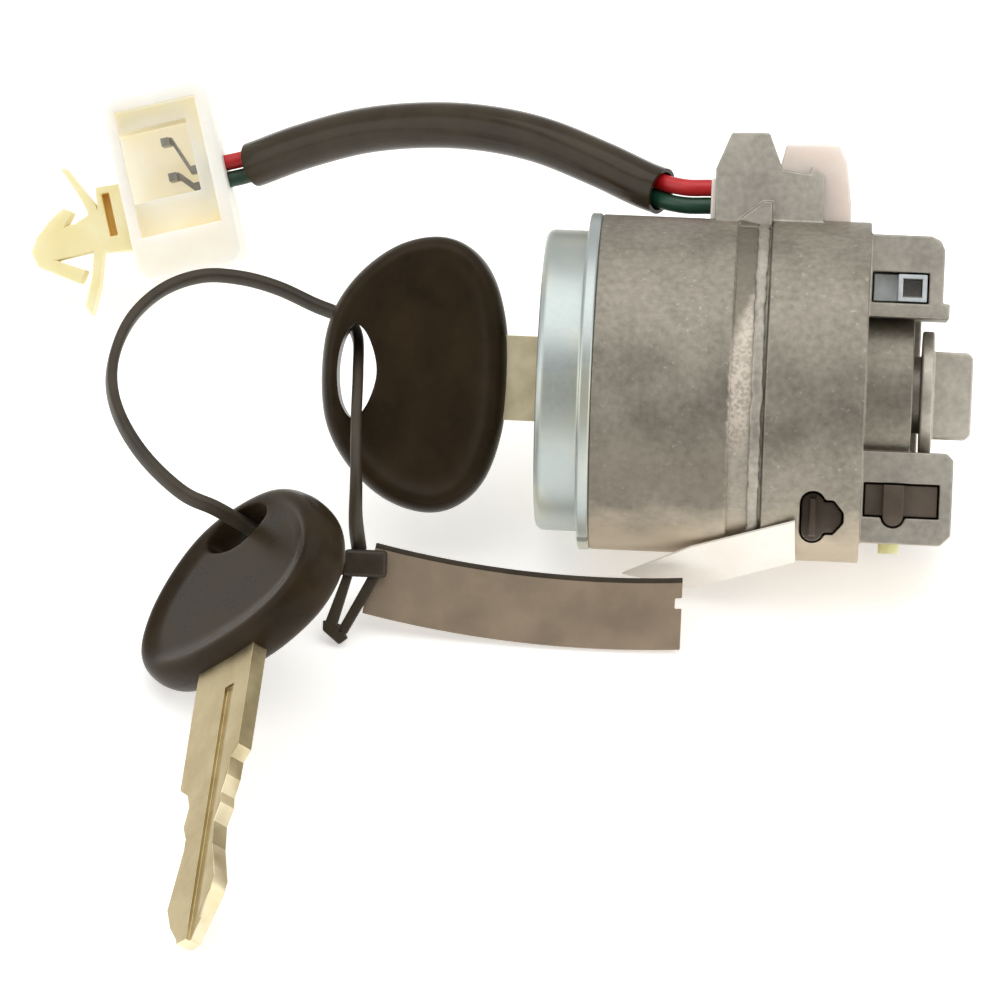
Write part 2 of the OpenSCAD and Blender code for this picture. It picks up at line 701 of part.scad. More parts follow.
module head_solid() {
    rise = (rim_t - face_t) / 2;
    levels = concat([for (s = head_section) [s[0] * rim_w, s[1] * rim_t / 2]],
                    [for (s = head_dish) [s[0] * rim_w, face_t / 2 + s[1] * rise]]);
    top = len(levels) - 1;
    rings = concat([for (i = [top : -1 : 1]) head_ring(levels[i][0], levels[i][1])],
                   [for (i = [0 : top]) head_ring(levels[i][0], -levels[i][1])]);
    skin(rings);
}

module blade_outline(grow) {
    w = blade_w / 2 + grow;
    x0 = head_x - blade_root - grow;
    polygon([[x0, -w], [blade_tip, -w], [blade_tip, w], [x0, w]]);
}

module key_head_form() {
    color(black) difference() {
        head_solid();
        translate([0, 0, -rim_t]) linear_extrude(2 * rim_t) polygon(slot_edge);
        translate([0, 0, -blade_t / 2]) linear_extrude(blade_t) blade_outline(0);
    }
}

// Cut edges of the blade's tip half: place before the tip, and share of the half width that is left
blade_cuts = [
    [[24.4, 1], [23.2, 0.78], [20.8, 0.76], [18.6, 0.64], [17.2, 0.68], [15, 0.52], [11.8, 0.6],
     [7, 0.87], [5.2, 0.78], [1.4, 0.34], [0, 0.2]],
    [[22.2, 1], [20.9, 0.68], [19, 0.54], [16.4, 0.64], [14.6, 0.48], [13, 0.48], [9.8, 0.6],
     [5.6, 0.76], [2.8, 0.54], [0.7, 0.24], [0, 0.2]]];

module key_blade_form() {
    groove_w = 1.6;
    groove_t = 0.5;
    w = blade_w / 2;
    root_x = head_x - blade_root;
    last = len(blade_cuts[1]) - 1;
    color(brass) difference() {
        translate([0, 0, -blade_t / 2]) linear_extrude(blade_t)
            polygon(concat([[root_x, w]], [for (c = blade_cuts[0]) [blade_tip - c[0], w * c[1]]],
                           [for (i = [last : -1 : 0], c = [blade_cuts[1][i]])
                               [blade_tip - c[0], -w * c[1]]],
                           [[root_x, -w]]));
        // Milled warding groove on each face
        for (s = [-1, 1]) translate([0, s * 1.5, s * blade_t / 2])
            block([head_x + 4, -groove_w / 2, -groove_t], [blade_tip + 1, groove_w / 2, groove_t]);
    }
}

module key_blade() {
    lie() key_blade_form();
}

module key_head() {
    lie() key_head_form();
}

// A key laid in the spare key's place
module at_spare() {
    lie() translate(spare_at) rotate(spare_turn) translate([-(head_x - head_len / 2), 0, 0]) children();
}

module spare_key_blade() {
    at_spare() key_blade_form();
}

module spare_key_head() {
    at_spare() key_head_form();
}

// A point of the spare key's own frame, in lock coordinates
function on_spare(v) = spare_at + turned(v - [head_x - head_len / 2, 0, 0], spare_turn);

// The strap's route from the tag's block through both slots and back
strap_reach = 5.5;
strap_pull = slot_w / 2 - strap_t / 2 - 0.35;
strap_start = [for (v = [[1.4, -21, 5], [1, -17.5, 7.4], [0.9, -13, 8.2], [0.6, -9, 6.8], [0.3, -5.2, 4],
                         [0, 0, 0], [-0.5, 4.2, -3.3], [-2.4, 6.4, -5], [-6, 7.8, -6], [-10.4, 9.6, -6.2],
                         [-14.8, 10.6, -5.6], [-19.3, 10.6, -4.4], [-23.6, 8.8, -2.4], [-26.8, 5.4, 0.6],
                         [-28.3, 1.2, 4], [-28.2, -3, 8], [-26.4, -7.2, 12], [-23, -11.5, 15],
                         [-18.4, -15.2, 17.2]]) loop_k * v + [slot_x, 0, 0]];
strap_end = [for (z = [strap_reach, 0, -strap_reach]) on_spare([slot_x - strap_pull, 0, z])];
strap_home = [for (v = [[-3.2, -23.6, 8.4], [0.4, -23, 5.4]]) loop_k * v + [slot_x, 0, 0]];
strap_path = open_curve(concat(strap_start, strap_end, strap_home), 3);
strap_corners = [[1, 0.5], [0.7, 1], [-0.7, 1], [-1, 0.5], [-1, -0.5], [-0.7, -1], [0.7, -1], [1, -0.5]];
strap_section = [for (q = strap_corners) [q[0] * strap_w / 2, q[1] * strap_t / 2]];

module tag_flag() {
    mid = flag_top + flag_arc_r;
    left = flag_start;
    right = flag_start + flag_len;
    translate([0, 0, tag_z - flag_t / 2]) linear_extrude(flag_t) difference() {
        intersection() {
            difference() {
                translate([flag_mid, mid]) circle(flag_arc_r + flag_w, $fn = 360);
                translate([flag_mid, mid]) circle(flag_arc_r, $fn = 360);
            }
            translate([0, flag_top]) polygon([[left, 0.6 * flag_w], [right, 0.6 * flag_w],
                [right, -2 * flag_w], [left + 0.4, -2 * flag_w], [left - 0.17 * flag_w, -0.77 * flag_w],
                [left - 0.14 * flag_w, -0.6 * flag_w]]);
        }
        // Small nick in the free end
        translate([right - 0.8, flag_top - 0.43 * flag_w]) square([1.6, 0.14 * flag_w]);
    }
}

module key_tag() {
    tip = [slot_x - 1, tag_block_at[1] - 1.05 * flag_w];
    root = tag_block_at[1] - tag_block[1] / 2 + 0.4;
    color(tag_brown) lie() {
        skin([for (i = [0 : len(strap_path) - 1])
            ring(strap_path, i, strap_path[i] - loop_centre, strap_section)]);
        translate(tag_block_at) cube(tag_block, center = true);
        tag_flag();
        // Loose tail of the strap: two arms that meet in a barb
        translate([0, 0, tag_z]) {
            linear_extrude(strap_t)
                polygon([[slot_x + 4.2, root], [slot_x + 2.8, root], tip + [0.2, 0.6], tip + [1.4, 0.4]]);
            linear_extrude(strap_t)
                polygon([[slot_x + 0.9, root], [slot_x - 0.2, root], tip + [-1.2, 1.6], tip + [0.2, 1.2]]);
            linear_extrude(strap_t)
                polygon([tip + [-1.4, 2], tip + [0.6, 1.6], tip + [1.6, 0], tip + [0.6, -0.8],
                         tip + [-1.4, 0.8]]);
        }
    }
}

// Blank slip leaning on the barrel's front
module paper_label() {
    lean = 60;
    slip_len = 20;
    slip_shape = [[-0.6, -0.49], [-0.2, -0.14], [0.4, 0.21], [0.41, -0.26], [-0.2, -0.63]];
    color(paper) lie() rotate([lean, 0, 0]) translate([front_len, 0, body_r + 0.05])
        linear_extrude(slip_t) polygon(slip_len * slip_shape);
}

housing();
face_cap();
return_spring();
rotor();
wafers();
wafer_springs();
detent_ball();
detent_spring();
drive_tail();
retaining_pin();
retaining_pin_spring();
retainer_plate();
rear_stop();
stop_pin();
switch_body();
switch_plunger();
plunger_spring();
switch_contacts();
wire_red();
wire_green();
wire_sleeve();
connector_body();
terminals();
anchor_clip();
key_blade();
key_head();
spare_key_blade();
spare_key_head();
key_tag();
paper_label();
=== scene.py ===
# %% [markdown]
# # Ignition switch with its keys
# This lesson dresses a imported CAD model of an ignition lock: a die-cast barrel with a plated cap, a key
# in the lock, a spare key on a strap tag, and a short lead to a connector. The CAD solids give every
# size and place. Blender gives the soft edges, the swept and moulded forms, and the finishes.

import math

import bmesh
import bpy
from mathutils import Matrix, Vector


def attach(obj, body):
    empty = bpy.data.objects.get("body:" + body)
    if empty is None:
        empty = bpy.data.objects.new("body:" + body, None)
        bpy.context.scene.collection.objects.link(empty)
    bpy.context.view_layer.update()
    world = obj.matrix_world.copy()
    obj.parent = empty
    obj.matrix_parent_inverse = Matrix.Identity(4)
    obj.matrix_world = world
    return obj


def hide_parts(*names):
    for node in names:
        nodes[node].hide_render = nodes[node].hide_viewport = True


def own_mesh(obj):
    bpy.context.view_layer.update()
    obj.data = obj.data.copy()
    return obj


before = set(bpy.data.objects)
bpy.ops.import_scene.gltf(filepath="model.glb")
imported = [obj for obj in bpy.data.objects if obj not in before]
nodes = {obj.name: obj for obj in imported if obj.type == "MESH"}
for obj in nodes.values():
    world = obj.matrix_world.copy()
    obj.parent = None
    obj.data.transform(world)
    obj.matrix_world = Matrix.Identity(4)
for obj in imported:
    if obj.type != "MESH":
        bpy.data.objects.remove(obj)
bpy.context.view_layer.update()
print("nodes:", len(nodes))

# %% [markdown]
# ## Millimetres and the lock's own frame
# The lock was drawn with X along its axis, Y towards the side boss and Z out of the key's face, in
# millimetres. It then rolls by 48 degrees about X to lie on the table. One function does that roll, so
# every route and outline below can be written in the lock's own millimetres, where the numbers are easy
# to picture.

# %% Places
MM = 0.001
ROLL = math.radians(48)
BARREL_R = 20
CORNERS = ((-1, -1), (1, -1), (1, 1), (-1, 1))


def row(point):
    """A point in the lock's millimetres, as a vector in the row frame in metres."""
    x, y, z = point
    back = y * math.cos(ROLL) - z * math.sin(ROLL)
    up = y * math.sin(ROLL) + z * math.cos(ROLL)
    return Vector((x, back, up)) * MM


def lock_mm(vector):
    """A vector in the row frame in metres, back in the lock's millimetres."""
    x, y, z = vector / MM
    return Vector((x, y * math.cos(ROLL) + z * math.sin(ROLL), z * math.cos(ROLL) - y * math.sin(ROLL)))


print("table at", -BARREL_R, "mm")

# %% [markdown]
# ## Camera
# The photograph looks down at the table by 42 degrees, a little from the right. A long lens keeps the
# lines almost parallel. The camera is built from its target, its distance and its direction, so each can
# be read off.

# %% Camera
VIEW_UP = math.radians(42)
VIEW_RIGHT = math.radians(3.7)
VIEW_FAR = 800
PIXELS_PER_MM = 8.5
IMAGE_PIXELS = 1000
SENSOR = 36
aim = Vector((-10.786, -10.045, -10.360))
away = Vector((
    math.sin(VIEW_RIGHT) * math.cos(VIEW_UP),
    -math.cos(VIEW_RIGHT) * math.cos(VIEW_UP),
    math.sin(VIEW_UP),
))
camera = bpy.data.objects.new("camera", bpy.data.cameras.new("camera"))
bpy.context.scene.collection.objects.link(camera)
camera.location = (aim + away * VIEW_FAR) * MM
camera.rotation_euler = away.to_track_quat("Z", "Y").to_euler()
camera.data.sensor_width = SENSOR
camera.data.lens = SENSOR * PIXELS_PER_MM * VIEW_FAR / IMAGE_PIXELS
camera.data.clip_start = 0.05
bpy.context.scene.camera = camera
print("lens", round(camera.data.lens, 1), "mm")

# %% [markdown]
# ## Nodes and colours
# Every finish below is a node tree. Small functions add a node with its settings and links, and the few
# groups of nodes that come back in every finish. Colours are written as the sRGB hex values that a
# colour picker shows, and one function turns them into the linear values that Blender's shaders want.


# %% Node helpers
def add(tree, kind, inputs=None, **settings):
    """One node in the tree, with its settings and with values or links on its inputs."""
    made = tree.nodes.new(kind)
    for name, value in settings.items():
        setattr(made, name, value)
    for name, value in (inputs or {}).items():
        if isinstance(value, bpy.types.NodeSocket):
            tree.links.new(value, made.inputs[name])
        else:
            made.inputs[name].default_value = value
    return made


def linear(text):
    """An sRGB hex colour as a linear colour with full alpha."""
    parts = [int(text[i : i + 2], 16) / 255 for i in (1, 3, 5)]
    return tuple(c / 12.92 if c <= 0.04045 else ((c + 0.055) / 1.055) ** 2.4 for c in parts) + (1.0,)


def per_mm(size):
    """The texture scale whose pattern repeats about once in this many millimetres."""
    return 1 / (size * MM)


def start_finish(name):
    """A new material with an empty tree, and its shader linked to its output."""
    made = bpy.data.materials.new(name)
    made.use_nodes = True
    tree = made.node_tree
    tree.nodes.clear()
    shader = add(tree, "ShaderNodeBsdfPrincipled")
    add(tree, "ShaderNodeOutputMaterial", {"Surface": shader.outputs["BSDF"]})
    return made, tree, shader


def object_place(tree):
    """Places in the object's own frame, in metres."""
    return add(tree, "ShaderNodeTexCoord").outputs["Object"]


def noise(tree, place, size, detail, roughness=0.5):
    """A noise whose pattern repeats about once in this many millimetres."""
    inputs = {"Vector": place, "Scale": per_mm(size), "Detail": detail, "Roughness": roughness}
    return add(tree, "ShaderNodeTexNoise", inputs).outputs["Fac"]


def ramp(tree, value, low, high, start, end):
    """A straight ramp from start, at the low value, to end, at the high one."""
    inputs = {"Value": value, "From Min": low, "From Max": high, "To Min": start, "To Max": end}
    return add(tree, "ShaderNodeMapRange", inputs).outputs["Result"]


def two_colours(tree, value, *stops):
    """A colour that follows a value, from two stops of a value and a hex colour each."""
    made = add(tree, "ShaderNodeValToRGB", {"Fac": value})
    for element, (position, tone) in zip(made.color_ramp.elements, stops):
        element.position = position
        element.color = linear(tone)
    return made.outputs["Color"]


def tinted(tree, colour, share, tone):
    """The colour, mixed with this share of a hex colour."""
    inputs = {"Factor": share, "A": colour, "B": linear(tone)}
    return add(tree, "ShaderNodeMix", inputs, data_type="RGBA").outputs["Result"]


def dress(tree, shader, colour, gloss, relief, strength, depth, metal=0.0):
    """Links colour, roughness and a relief of this depth in millimetres to the shader."""
    inputs = {"Height": relief, "Strength": strength, "Distance": depth * MM}
    tree.links.new(colour, shader.inputs["Base Color"])
    tree.links.new(gloss, shader.inputs["Roughness"])
    tree.links.new(add(tree, "ShaderNodeBump", inputs).outputs["Normal"], shader.inputs["Normal"])
    shader.inputs["Metallic"].default_value = metal


print("linear mid grey", [round(c, 3) for c in linear("#808080")[:3]])

# %% [markdown]
# ## Bare zinc die casting
# Zinc cast in a steel die comes out dull grey. Handling and release oil leave cloudy stains several
# millimetres wide, and the skin has a fine grain and a few pale specks. The stains change colour and
# gloss together, so one noise drives both.

# %% Zinc
SPECK_TONE = "#c9c6bd"


def make_zinc(name, dark, pale, rough_low, rough_high, metal=0.8, grit=0.3):
    """Stained zinc between two colours and two roughnesses."""
    finish, tree, shader = start_finish(name)
    place = object_place(tree)
    stain = noise(tree, place, 7, 5)
    grain = noise(tree, place, 0.8, 3)
    mix = add(tree, "ShaderNodeMix", {"Factor": 0.4, "A": stain, "B": grain}, data_type="FLOAT")
    both = mix.outputs["Result"]
    specks = ramp(tree, noise(tree, place, 0.7, 1), 0.68, 0.78, 0.0, 0.35)
    colour = tinted(tree, two_colours(tree, both, (0.36, dark), (0.64, pale)), specks, SPECK_TONE)
    gloss = ramp(tree, stain, 0.3, 0.7, rough_low, rough_high)
    dress(tree, shader, colour, gloss, both, grit, 0.1, metal)
    return finish


zinc = make_zinc("zinc die casting", "#8b877c", "#aea99d", 0.45, 0.62)
tail_zinc = make_zinc("zinc die casting, drive tail", "#b4afa3", "#d5d0c4", 0.45, 0.6, 0.6)
barrel_zinc = make_zinc("zinc die casting, barrel", "#817c71", "#a49e92", 0.45, 0.62)
# Painted light: a paler, less metallic copy of the zinc for flat faces that face the camera
painted_lit_zinc = make_zinc("zinc die casting, painted light on flat faces", "#a09b91", "#c1bcb1", 0.5, 0.62, 0.6)
zinc_rubbed = make_zinc("torn zinc", "#8f8a80", "#bdb8ad", 0.42, 0.58, 0.7, 1.0)
print("zinc finishes ready")

# %% [markdown]
# ## Wear and painted light on the barrel
# The shallow band in the middle of the barrel is rubbed bright at mid height, and higher up in its recess
# it is darker, as painted shade. The barrel's lower half is darker, as painted shade, and its foot is
# paler, as a painted reflection of the table. The places are easiest to say in the lock's own millimetres,
# so a
# Mapping node turns the object's coordinates back.
# Map Range nodes then mark where each patch begins and ends, and noises make the borders ragged.

# %% Barrel wear and painted light
BAND_START, BAND_END = (16.2, 16.8), (18.8, 19.6)
PATCH_EDGE = (-27, -23)
tree = barrel_zinc.node_tree
shader = tree.nodes["Principled BSDF"]
worn_and_shaded_colour = shader.inputs["Base Color"].links[0].from_socket
place = object_place(tree)
unrolled = {"Vector": place, "Rotation": (-ROLL, 0, 0), "Scale": (1 / MM,) * 3}
in_lock = add(tree, "ShaderNodeMapping", unrolled).outputs["Vector"]
spot = add(tree, "ShaderNodeSeparateXYZ", {"Vector": in_lock}).outputs


def times(first, second):
    return add(tree, "ShaderNodeMath", {0: first, 1: second}, operation="MULTIPLY").outputs[0]


def times_plus(value, factor, more):
    """The value times a factor, and something more."""
    return add(tree, "ShaderNodeMath", {0: value, 1: factor, 2: more}, operation="MULTIPLY_ADD").outputs[0]


ragged = noise(tree, place, 0.9, 3)
shifted = times_plus(ragged, 1.2, spot["X"])
slanted = times_plus(ragged, 4.0, times_plus(spot["X"], -2.0, spot["Y"]))
height = times_plus(noise(tree, place, 5, 4), 6.0, spot["Y"])
on_band = times(ramp(tree, shifted, *BAND_START, 0, 1), ramp(tree, shifted, *BAND_END, 1, 0))
rubbed = times(on_band, ramp(tree, slanted, *PATCH_EDGE, 1, 0))
rubbed = times(rubbed, ramp(tree, spot["Y"], -9, -3, 0.15, 1))
rubbed = times(rubbed, ramp(tree, noise(tree, place, 0.45, 2), 0.38, 0.58, 0.5, 1))
# Painted shade: the upper part of the band's recess is darker
painted_band_shade = times(on_band, ramp(tree, slanted, *PATCH_EDGE, 0, 0.55))
# Painted shade: the lower half of the barrel is darker
painted_low_shade = times(ramp(tree, height, -7, 0, 0.5, 0), ramp(tree, height, -14, -10, 0, 1))
painted_low_shade = times(painted_low_shade, ramp(tree, shifted, 16.2, 17.2, 1, 0))
# Painted reflection: the foot of the barrel is paler, like the lit table it faces
painted_foot_reflection = ramp(tree, height, -15, -11, 0.8, 0)
for share, tone in ((painted_low_shade, "#676053"), (painted_foot_reflection, "#cdbfa9"), (painted_band_shade, "#6f695d"), (rubbed, "#d8cdbf")):
    worn_and_shaded_colour = tinted(tree, worn_and_shaded_colour, share, tone)
tree.links.new(worn_and_shaded_colour, shader.inputs["Base Color"])
tree.links.new(ramp(tree, rubbed, 0, 1, 0.8, 0.15), shader.inputs["Metallic"])
print("wear on", barrel_zinc.name)

# %% [markdown]
# ## Bright zinc plate
# The cap is pressed steel with a bright zinc coat. It is smoother than the casting, has a cold blue and
# a warm straw tint from its passivation, and shows fine speckle where the coat is thin. Two noises of
# different size mix the tints and the speckle.

# %% Plated steel
plated, tree, shader = start_finish("bright zinc plated steel")
place = object_place(tree)
speckle = noise(tree, place, 0.5, 2)
colour = two_colours(tree, noise(tree, place, 14, 2), (0.38, "#b6bfbe"), (0.62, "#d4d4c0"))
gloss = ramp(tree, speckle, 0.3, 0.7, 0.35, 0.45)
dress(tree, shader, colour, gloss, speckle, 0.06, 0.03, 0.85)
print("made", plated.name)

# %% [markdown]
# ## Nickel silver
# Key blades are milled from nickel silver, a copper alloy with a faint straw colour. The milling leaves
# fine lines along the blade, and pockets wear it dull. The lines are a noise stretched along the blade
# by a Mapping node. The two blades point different ways, so each gets its own turn of the pattern.

# %% Blade finish
LINE_STRETCH = (0.08, 1.0, 1.0)


def make_nickel_silver(name, turn, dark, pale, metal=1.0):
    """A milled alloy between two colours, with its milling lines turned by these angles."""
    finish, tree, shader = start_finish(name)
    place = object_place(tree)
    along = add(tree, "ShaderNodeMapping", {"Vector": place, "Rotation": turn}).outputs["Vector"]
    stretched = add(tree, "ShaderNodeMapping", {"Vector": along, "Scale": LINE_STRETCH}).outputs["Vector"]
    wear = noise(tree, place, 4, 3)
    colour = two_colours(tree, wear, (0.35, dark), (0.65, pale))
    gloss = ramp(tree, wear, 0.3, 0.7, 0.26, 0.42)
    dress(tree, shader, colour, gloss, noise(tree, stretched, 0.5, 2), 0.2, 0.03, metal)
    return finish


SPARE_TURN = (("Z", -93), ("Y", -36), ("X", 50))
turn_spare = Matrix.Identity(4)
for axis, degrees in SPARE_TURN:
    turn_spare = turn_spare @ Matrix.Rotation(math.radians(degrees), 4, axis)
spare_lines = (Matrix.Rotation(ROLL, 4, "X") @ turn_spare).inverted().to_euler()
blade_silver = make_nickel_silver("nickel silver", (0, 0, 0), "#d2c49f", "#f0e4c4", 0.4)
spare_silver = make_nickel_silver("nickel silver, spare key", spare_lines, "#ab9c78", "#c2b490")
cut_silver = make_nickel_silver("cut nickel silver", (0, 0, 0), "#d9c9a0", "#efe2c2")
print("made", blade_silver.name, "and", spare_silver.name)

# %% [markdown]
# ## Mouldings
# The heads, the tag, the switch, the connector and the clips are injection mouldings. They differ in
# colour, gloss and in how far light sinks into them, so one function makes them all. Black ABS and dark
# nylon carry a fine skin texture and faint handling marks. Natural nylon lets light in, which subsurface
# scattering gives.


# %% Moulded plastics
def make_moulding(name, dark, pale, rough, texture_mm, depth, glow=0.0, shine=0.5, glow_mm=2):
    """A moulded plastic between two colours. Light sinks in by glow_mm where glow is over 0."""
    finish, tree, shader = start_finish(name)
    place = object_place(tree)
    cloud = noise(tree, place, 6, 4, 0.55)
    colour = two_colours(tree, cloud, (0.34, dark), (0.68, pale))
    gloss = ramp(tree, cloud, 0.3, 0.7, rough - 0.06, rough + 0.06)
    dress(tree, shader, colour, gloss, noise(tree, place, texture_mm, 2), depth, 0.04)
    shader.inputs["IOR"].default_value = 1.5
    shader.inputs["Specular IOR Level"].default_value = shine
    shader.inputs["Subsurface Weight"].default_value = glow
    shader.inputs["Subsurface Radius"].default_value = (1.0, 0.88, 0.72)
    shader.inputs["Subsurface Scale"].default_value = glow_mm * MM
    return finish


head_black = make_moulding("black ABS", "#271f14", "#34291b", 0.3, 0.5, 0.08, shine=0.1)
tag_nylon = make_moulding("dark nylon", "#332c22", "#463e32", 0.42, 0.5, 0.15, shine=0.3)
# Painted light: the flag takes a paler copy of the tag's nylon, though the tag is one moulding
flag_lit_nylon = make_moulding("dark nylon, painted light on flag", "#867766", "#9b8a75", 0.52, 0.5, 0.15, shine=0.3)
# Painted light: paler than black nylon, so the recessed parts don't sink into shade
lifted_black_nylon = make_moulding("black nylon, painted paler against shade", "#574d43", "#6e6358", 0.48, 0.4, 0.15, shine=0.3)
white_nylon = make_moulding("natural nylon", "#f6efe2", "#fbf6ec", 0.4, 0.6, 0.08, 1.0, glow_mm=4)
# Painted light: a paler, warmer copy of the nylon that lifts the shade in the connector's recess
recess_lit_nylon = make_moulding("natural nylon, painted light in recess", "#ffecd2", "#fff4e2", 0.46, 0.6, 0.08, 1.0, glow_mm=6)
cream_nylon = make_moulding("aged natural nylon", "#f1e4ab", "#f9f0c8", 0.42, 0.6, 0.08, 0.4)
# Painted shade: a darker amber copy of the clip's nylon for the inside of its slot
slot_shade_nylon = make_moulding("amber nylon, painted shade in slot", "#e6c362", "#f2d684", 0.42, 0.6, 0.08, 0.4)
pink_nylon = make_moulding("pale pink nylon", "#f3e2d8", "#f9eee7", 0.45, 0.6, 0.08, 0.6)
yellow_nylon = make_moulding("yellow nylon", "#f0efae", "#f8f8ca", 0.42, 0.6, 0.08, 0.4)
red_pvc = make_moulding("red PVC", "#c0171e", "#d42f33", 0.34, 0.5, 0.06)
green_pvc = make_moulding("green PVC", "#12372a", "#1b5039", 0.34, 0.5, 0.06)
sleeve_pvc = make_moulding("black PVC", "#332b1f", "#3f3628", 0.2, 0.7, 0.06, shine=0.25)
paper = make_moulding("white paper", "#f7f1e8", "#fefaf3", 0.78, 0.3, 0.15)
spring_steel = make_zinc("drawn spring steel", "#6d6c68", "#8c8a85", 0.3, 0.42)
tinned_steel = make_zinc("tinned steel", "#918e86", "#b8b4ab", 0.35, 0.48, 0.6)
plate_steel = make_zinc("zinc plated plate", "#c2ccd1", "#e2e9ed", 0.4, 0.52, 0.4)
contact_brass = make_nickel_silver("stamped brass", (0, 0, 0), "#a3863f", "#c9ad62")
print("mouldings ready")

# %% [markdown]
# ## Table and light
# A pale table and large soft lights give the even light of a product photograph. The table glows a
# little, like a lit acrylic sheet, so that shadows stay pale. The space in front of the lock stays a
# little darker than the lights and the table, because bare metal looks like metal only when it has both
# bright and dark to reflect.

# %% Table and lights
TABLE_HALF = 3.0
DIM_FROM, DIM_TO = 0.72, 0.94
STUDIO_BRIGHT, STUDIO_DIM = 0.7, 0.36
level = -BARREL_R * MM
table = bpy.data.meshes.new("table")
table.from_pydata(
    [(x * TABLE_HALF, y * TABLE_HALF, level) for x, y in CORNERS],
    [],
    [(0, 1, 2, 3)],
)
table_piece = bpy.data.objects.new("table", table)
bpy.context.scene.collection.objects.link(table_piece)
table_finish, tree, shader = start_finish("matt white table")
shade = two_colours(tree, noise(tree, object_place(tree), 3, 2), (0.0, "#f4f3f1"), (1.0, "#f8f7f5"))
tree.links.new(shade, shader.inputs["Base Color"])
shader.inputs["Roughness"].default_value = 0.9
shader.inputs["Emission Color"].default_value = linear("#fffefc")
shader.inputs["Emission Strength"].default_value = 0.45
table.materials.append(table_finish)

studio = bpy.data.worlds.new("studio")
studio.use_nodes = True
tree = studio.node_tree
heading = add(tree, "ShaderNodeTexCoord").outputs["Generated"]
facing = add(tree, "ShaderNodeVectorMath", {0: heading, 1: away}, operation="DOT_PRODUCT")
strength = ramp(tree, facing.outputs["Value"], DIM_FROM, DIM_TO, STUDIO_BRIGHT, STUDIO_DIM)
backdrop = tree.nodes["Background"]
backdrop.inputs["Color"].default_value = linear("#f6f4f0")
tree.links.new(strength, backdrop.inputs["Strength"])
bpy.context.scene.world = studio
bpy.context.scene.view_settings.view_transform = "Standard"


def softbox(name, at, size, watts):
    """A rectangular area light that faces the lock."""
    lamp = bpy.data.lights.new(name, "AREA")
    lamp.shape = "RECTANGLE"
    lamp.size, lamp.size_y = size
    lamp.energy = watts
    made = bpy.data.objects.new(name, lamp)
    made.location = at
    made.rotation_euler = Vector(at).to_track_quat("Z", "Y").to_euler()
    bpy.context.scene.collection.objects.link(made)


softbox("overhead", (0.0, 0.1, 0.9), (1.3, 1.0), 5.3)
softbox("left fill", (-0.9, -0.3, 0.45), (0.8, 0.8), 2)
softbox("right fill", (0.9, -0.25, 0.45), (0.8, 0.8), 2)

# %% [markdown]
# ## Curves in code
# Cords, the strap and the key's outline all follow points. A Catmull-Rom curve passes through every
# point with no handles to set, so the numbers stay readable. Each point of a route also has a heading
# and two directions across it, which carry a section along.


# %% Curve helpers
def blend_point(a, b, c, d, t):
    """The point at share t between b and c, on the curve through a, b, c and d."""
    return 0.5 * (
        2 * b + (c - a) * t + (2 * a - 5 * b + 4 * c - d) * t * t + (3 * b - a - 3 * c + d) * t * t * t
    )


def open_curve(points, steps):
    """A smooth curve from the first point to the last, with this many steps between two points."""
    p = [Vector(q) for q in points]
    last = len(p) - 1
    made = [
        blend_point(p[max(i - 1, 0)], p[i], p[i + 1], p[min(i + 2, last)], k / steps)
        for i in range(last)
        for k in range(steps)
    ]
    return made + [p[last]]


def closed_curve(points, steps):
    """A smooth curve round all the points and back to the first."""
    p = [Vector(q) for q in points]
    n = len(p)
    return [
        blend_point(p[i - 1], p[i], p[(i + 1) % n], p[(i + 2) % n], k / steps)
        for i in range(n)
        for k in range(steps)
    ]


def directions(path, i, toward):
    """Heading, across and upward directions of a path at one of its points."""
    heading = (path[min(i + 1, len(path) - 1)] - path[max(i - 1, 0)]).normalized()
    across = toward.cross(heading).normalized()
    return heading, across, heading.cross(across)


def path_length(path):
    return sum((b - a).length for a, b in zip(path, path[1:]))


def loft(rings):
    """A closed mesh over equal rings of points."""
    work = bmesh.new()
    loops = [[work.verts.new(p) for p in ring] for ring in rings]
    n = len(loops[0])
    for a, b in zip(loops, loops[1:]):
        for k in range(n):
            work.faces.new((a[k], a[(k + 1) % n], b[(k + 1) % n], b[k]))
    work.faces.new(loops[0][::-1])
    work.faces.new(loops[-1])
    bmesh.ops.recalc_face_normals(work, faces=work.faces)
    mesh = bpy.data.meshes.new("loft")
    work.to_mesh(mesh)
    work.free()
    return mesh


square = [(0, 0), (1, 0), (1, 1), (0, 1)]
print("a quarter of a square's round:", closed_curve(square, 4)[:4])

# %% [markdown]
# ## Pieces
# A finished piece is a plain mesh with its place in its vertices. One function makes the object, gives
# it its finish, sets it on the body that carries it and hides the CAD solids it stands for.


# %% Piece helper
def finish_piece(name, mesh, body, finishes, stands_for, sharp_degrees):
    """An object riding on a body. Given an angle, its mesh is smooth but for sharper edges."""
    mesh.name = name
    for finish in finishes:
        if finish.name not in mesh.materials:
            mesh.materials.append(finish)
    if sharp_degrees is not None:
        mesh.shade_smooth()
        mesh.set_sharp_from_angle(angle=math.radians(sharp_degrees))
    piece = bpy.data.objects.new(name, mesh)
    bpy.context.scene.collection.objects.link(piece)
    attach(piece, body)
    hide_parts(*stands_for)
    return piece


def baked(worker):
    """The mesh of an object with its modifiers applied. The object itself goes away."""
    bpy.context.view_layer.update()
    mesh = bpy.data.meshes.new_from_object(worker.evaluated_get(bpy.context.evaluated_depsgraph_get()))
    bpy.data.objects.remove(worker)
    return mesh


def worker_from(mesh):
    """A scratch object in the scene, to put modifiers on."""
    made = bpy.data.objects.new("worker", mesh)
    bpy.context.scene.collection.objects.link(made)
    return made


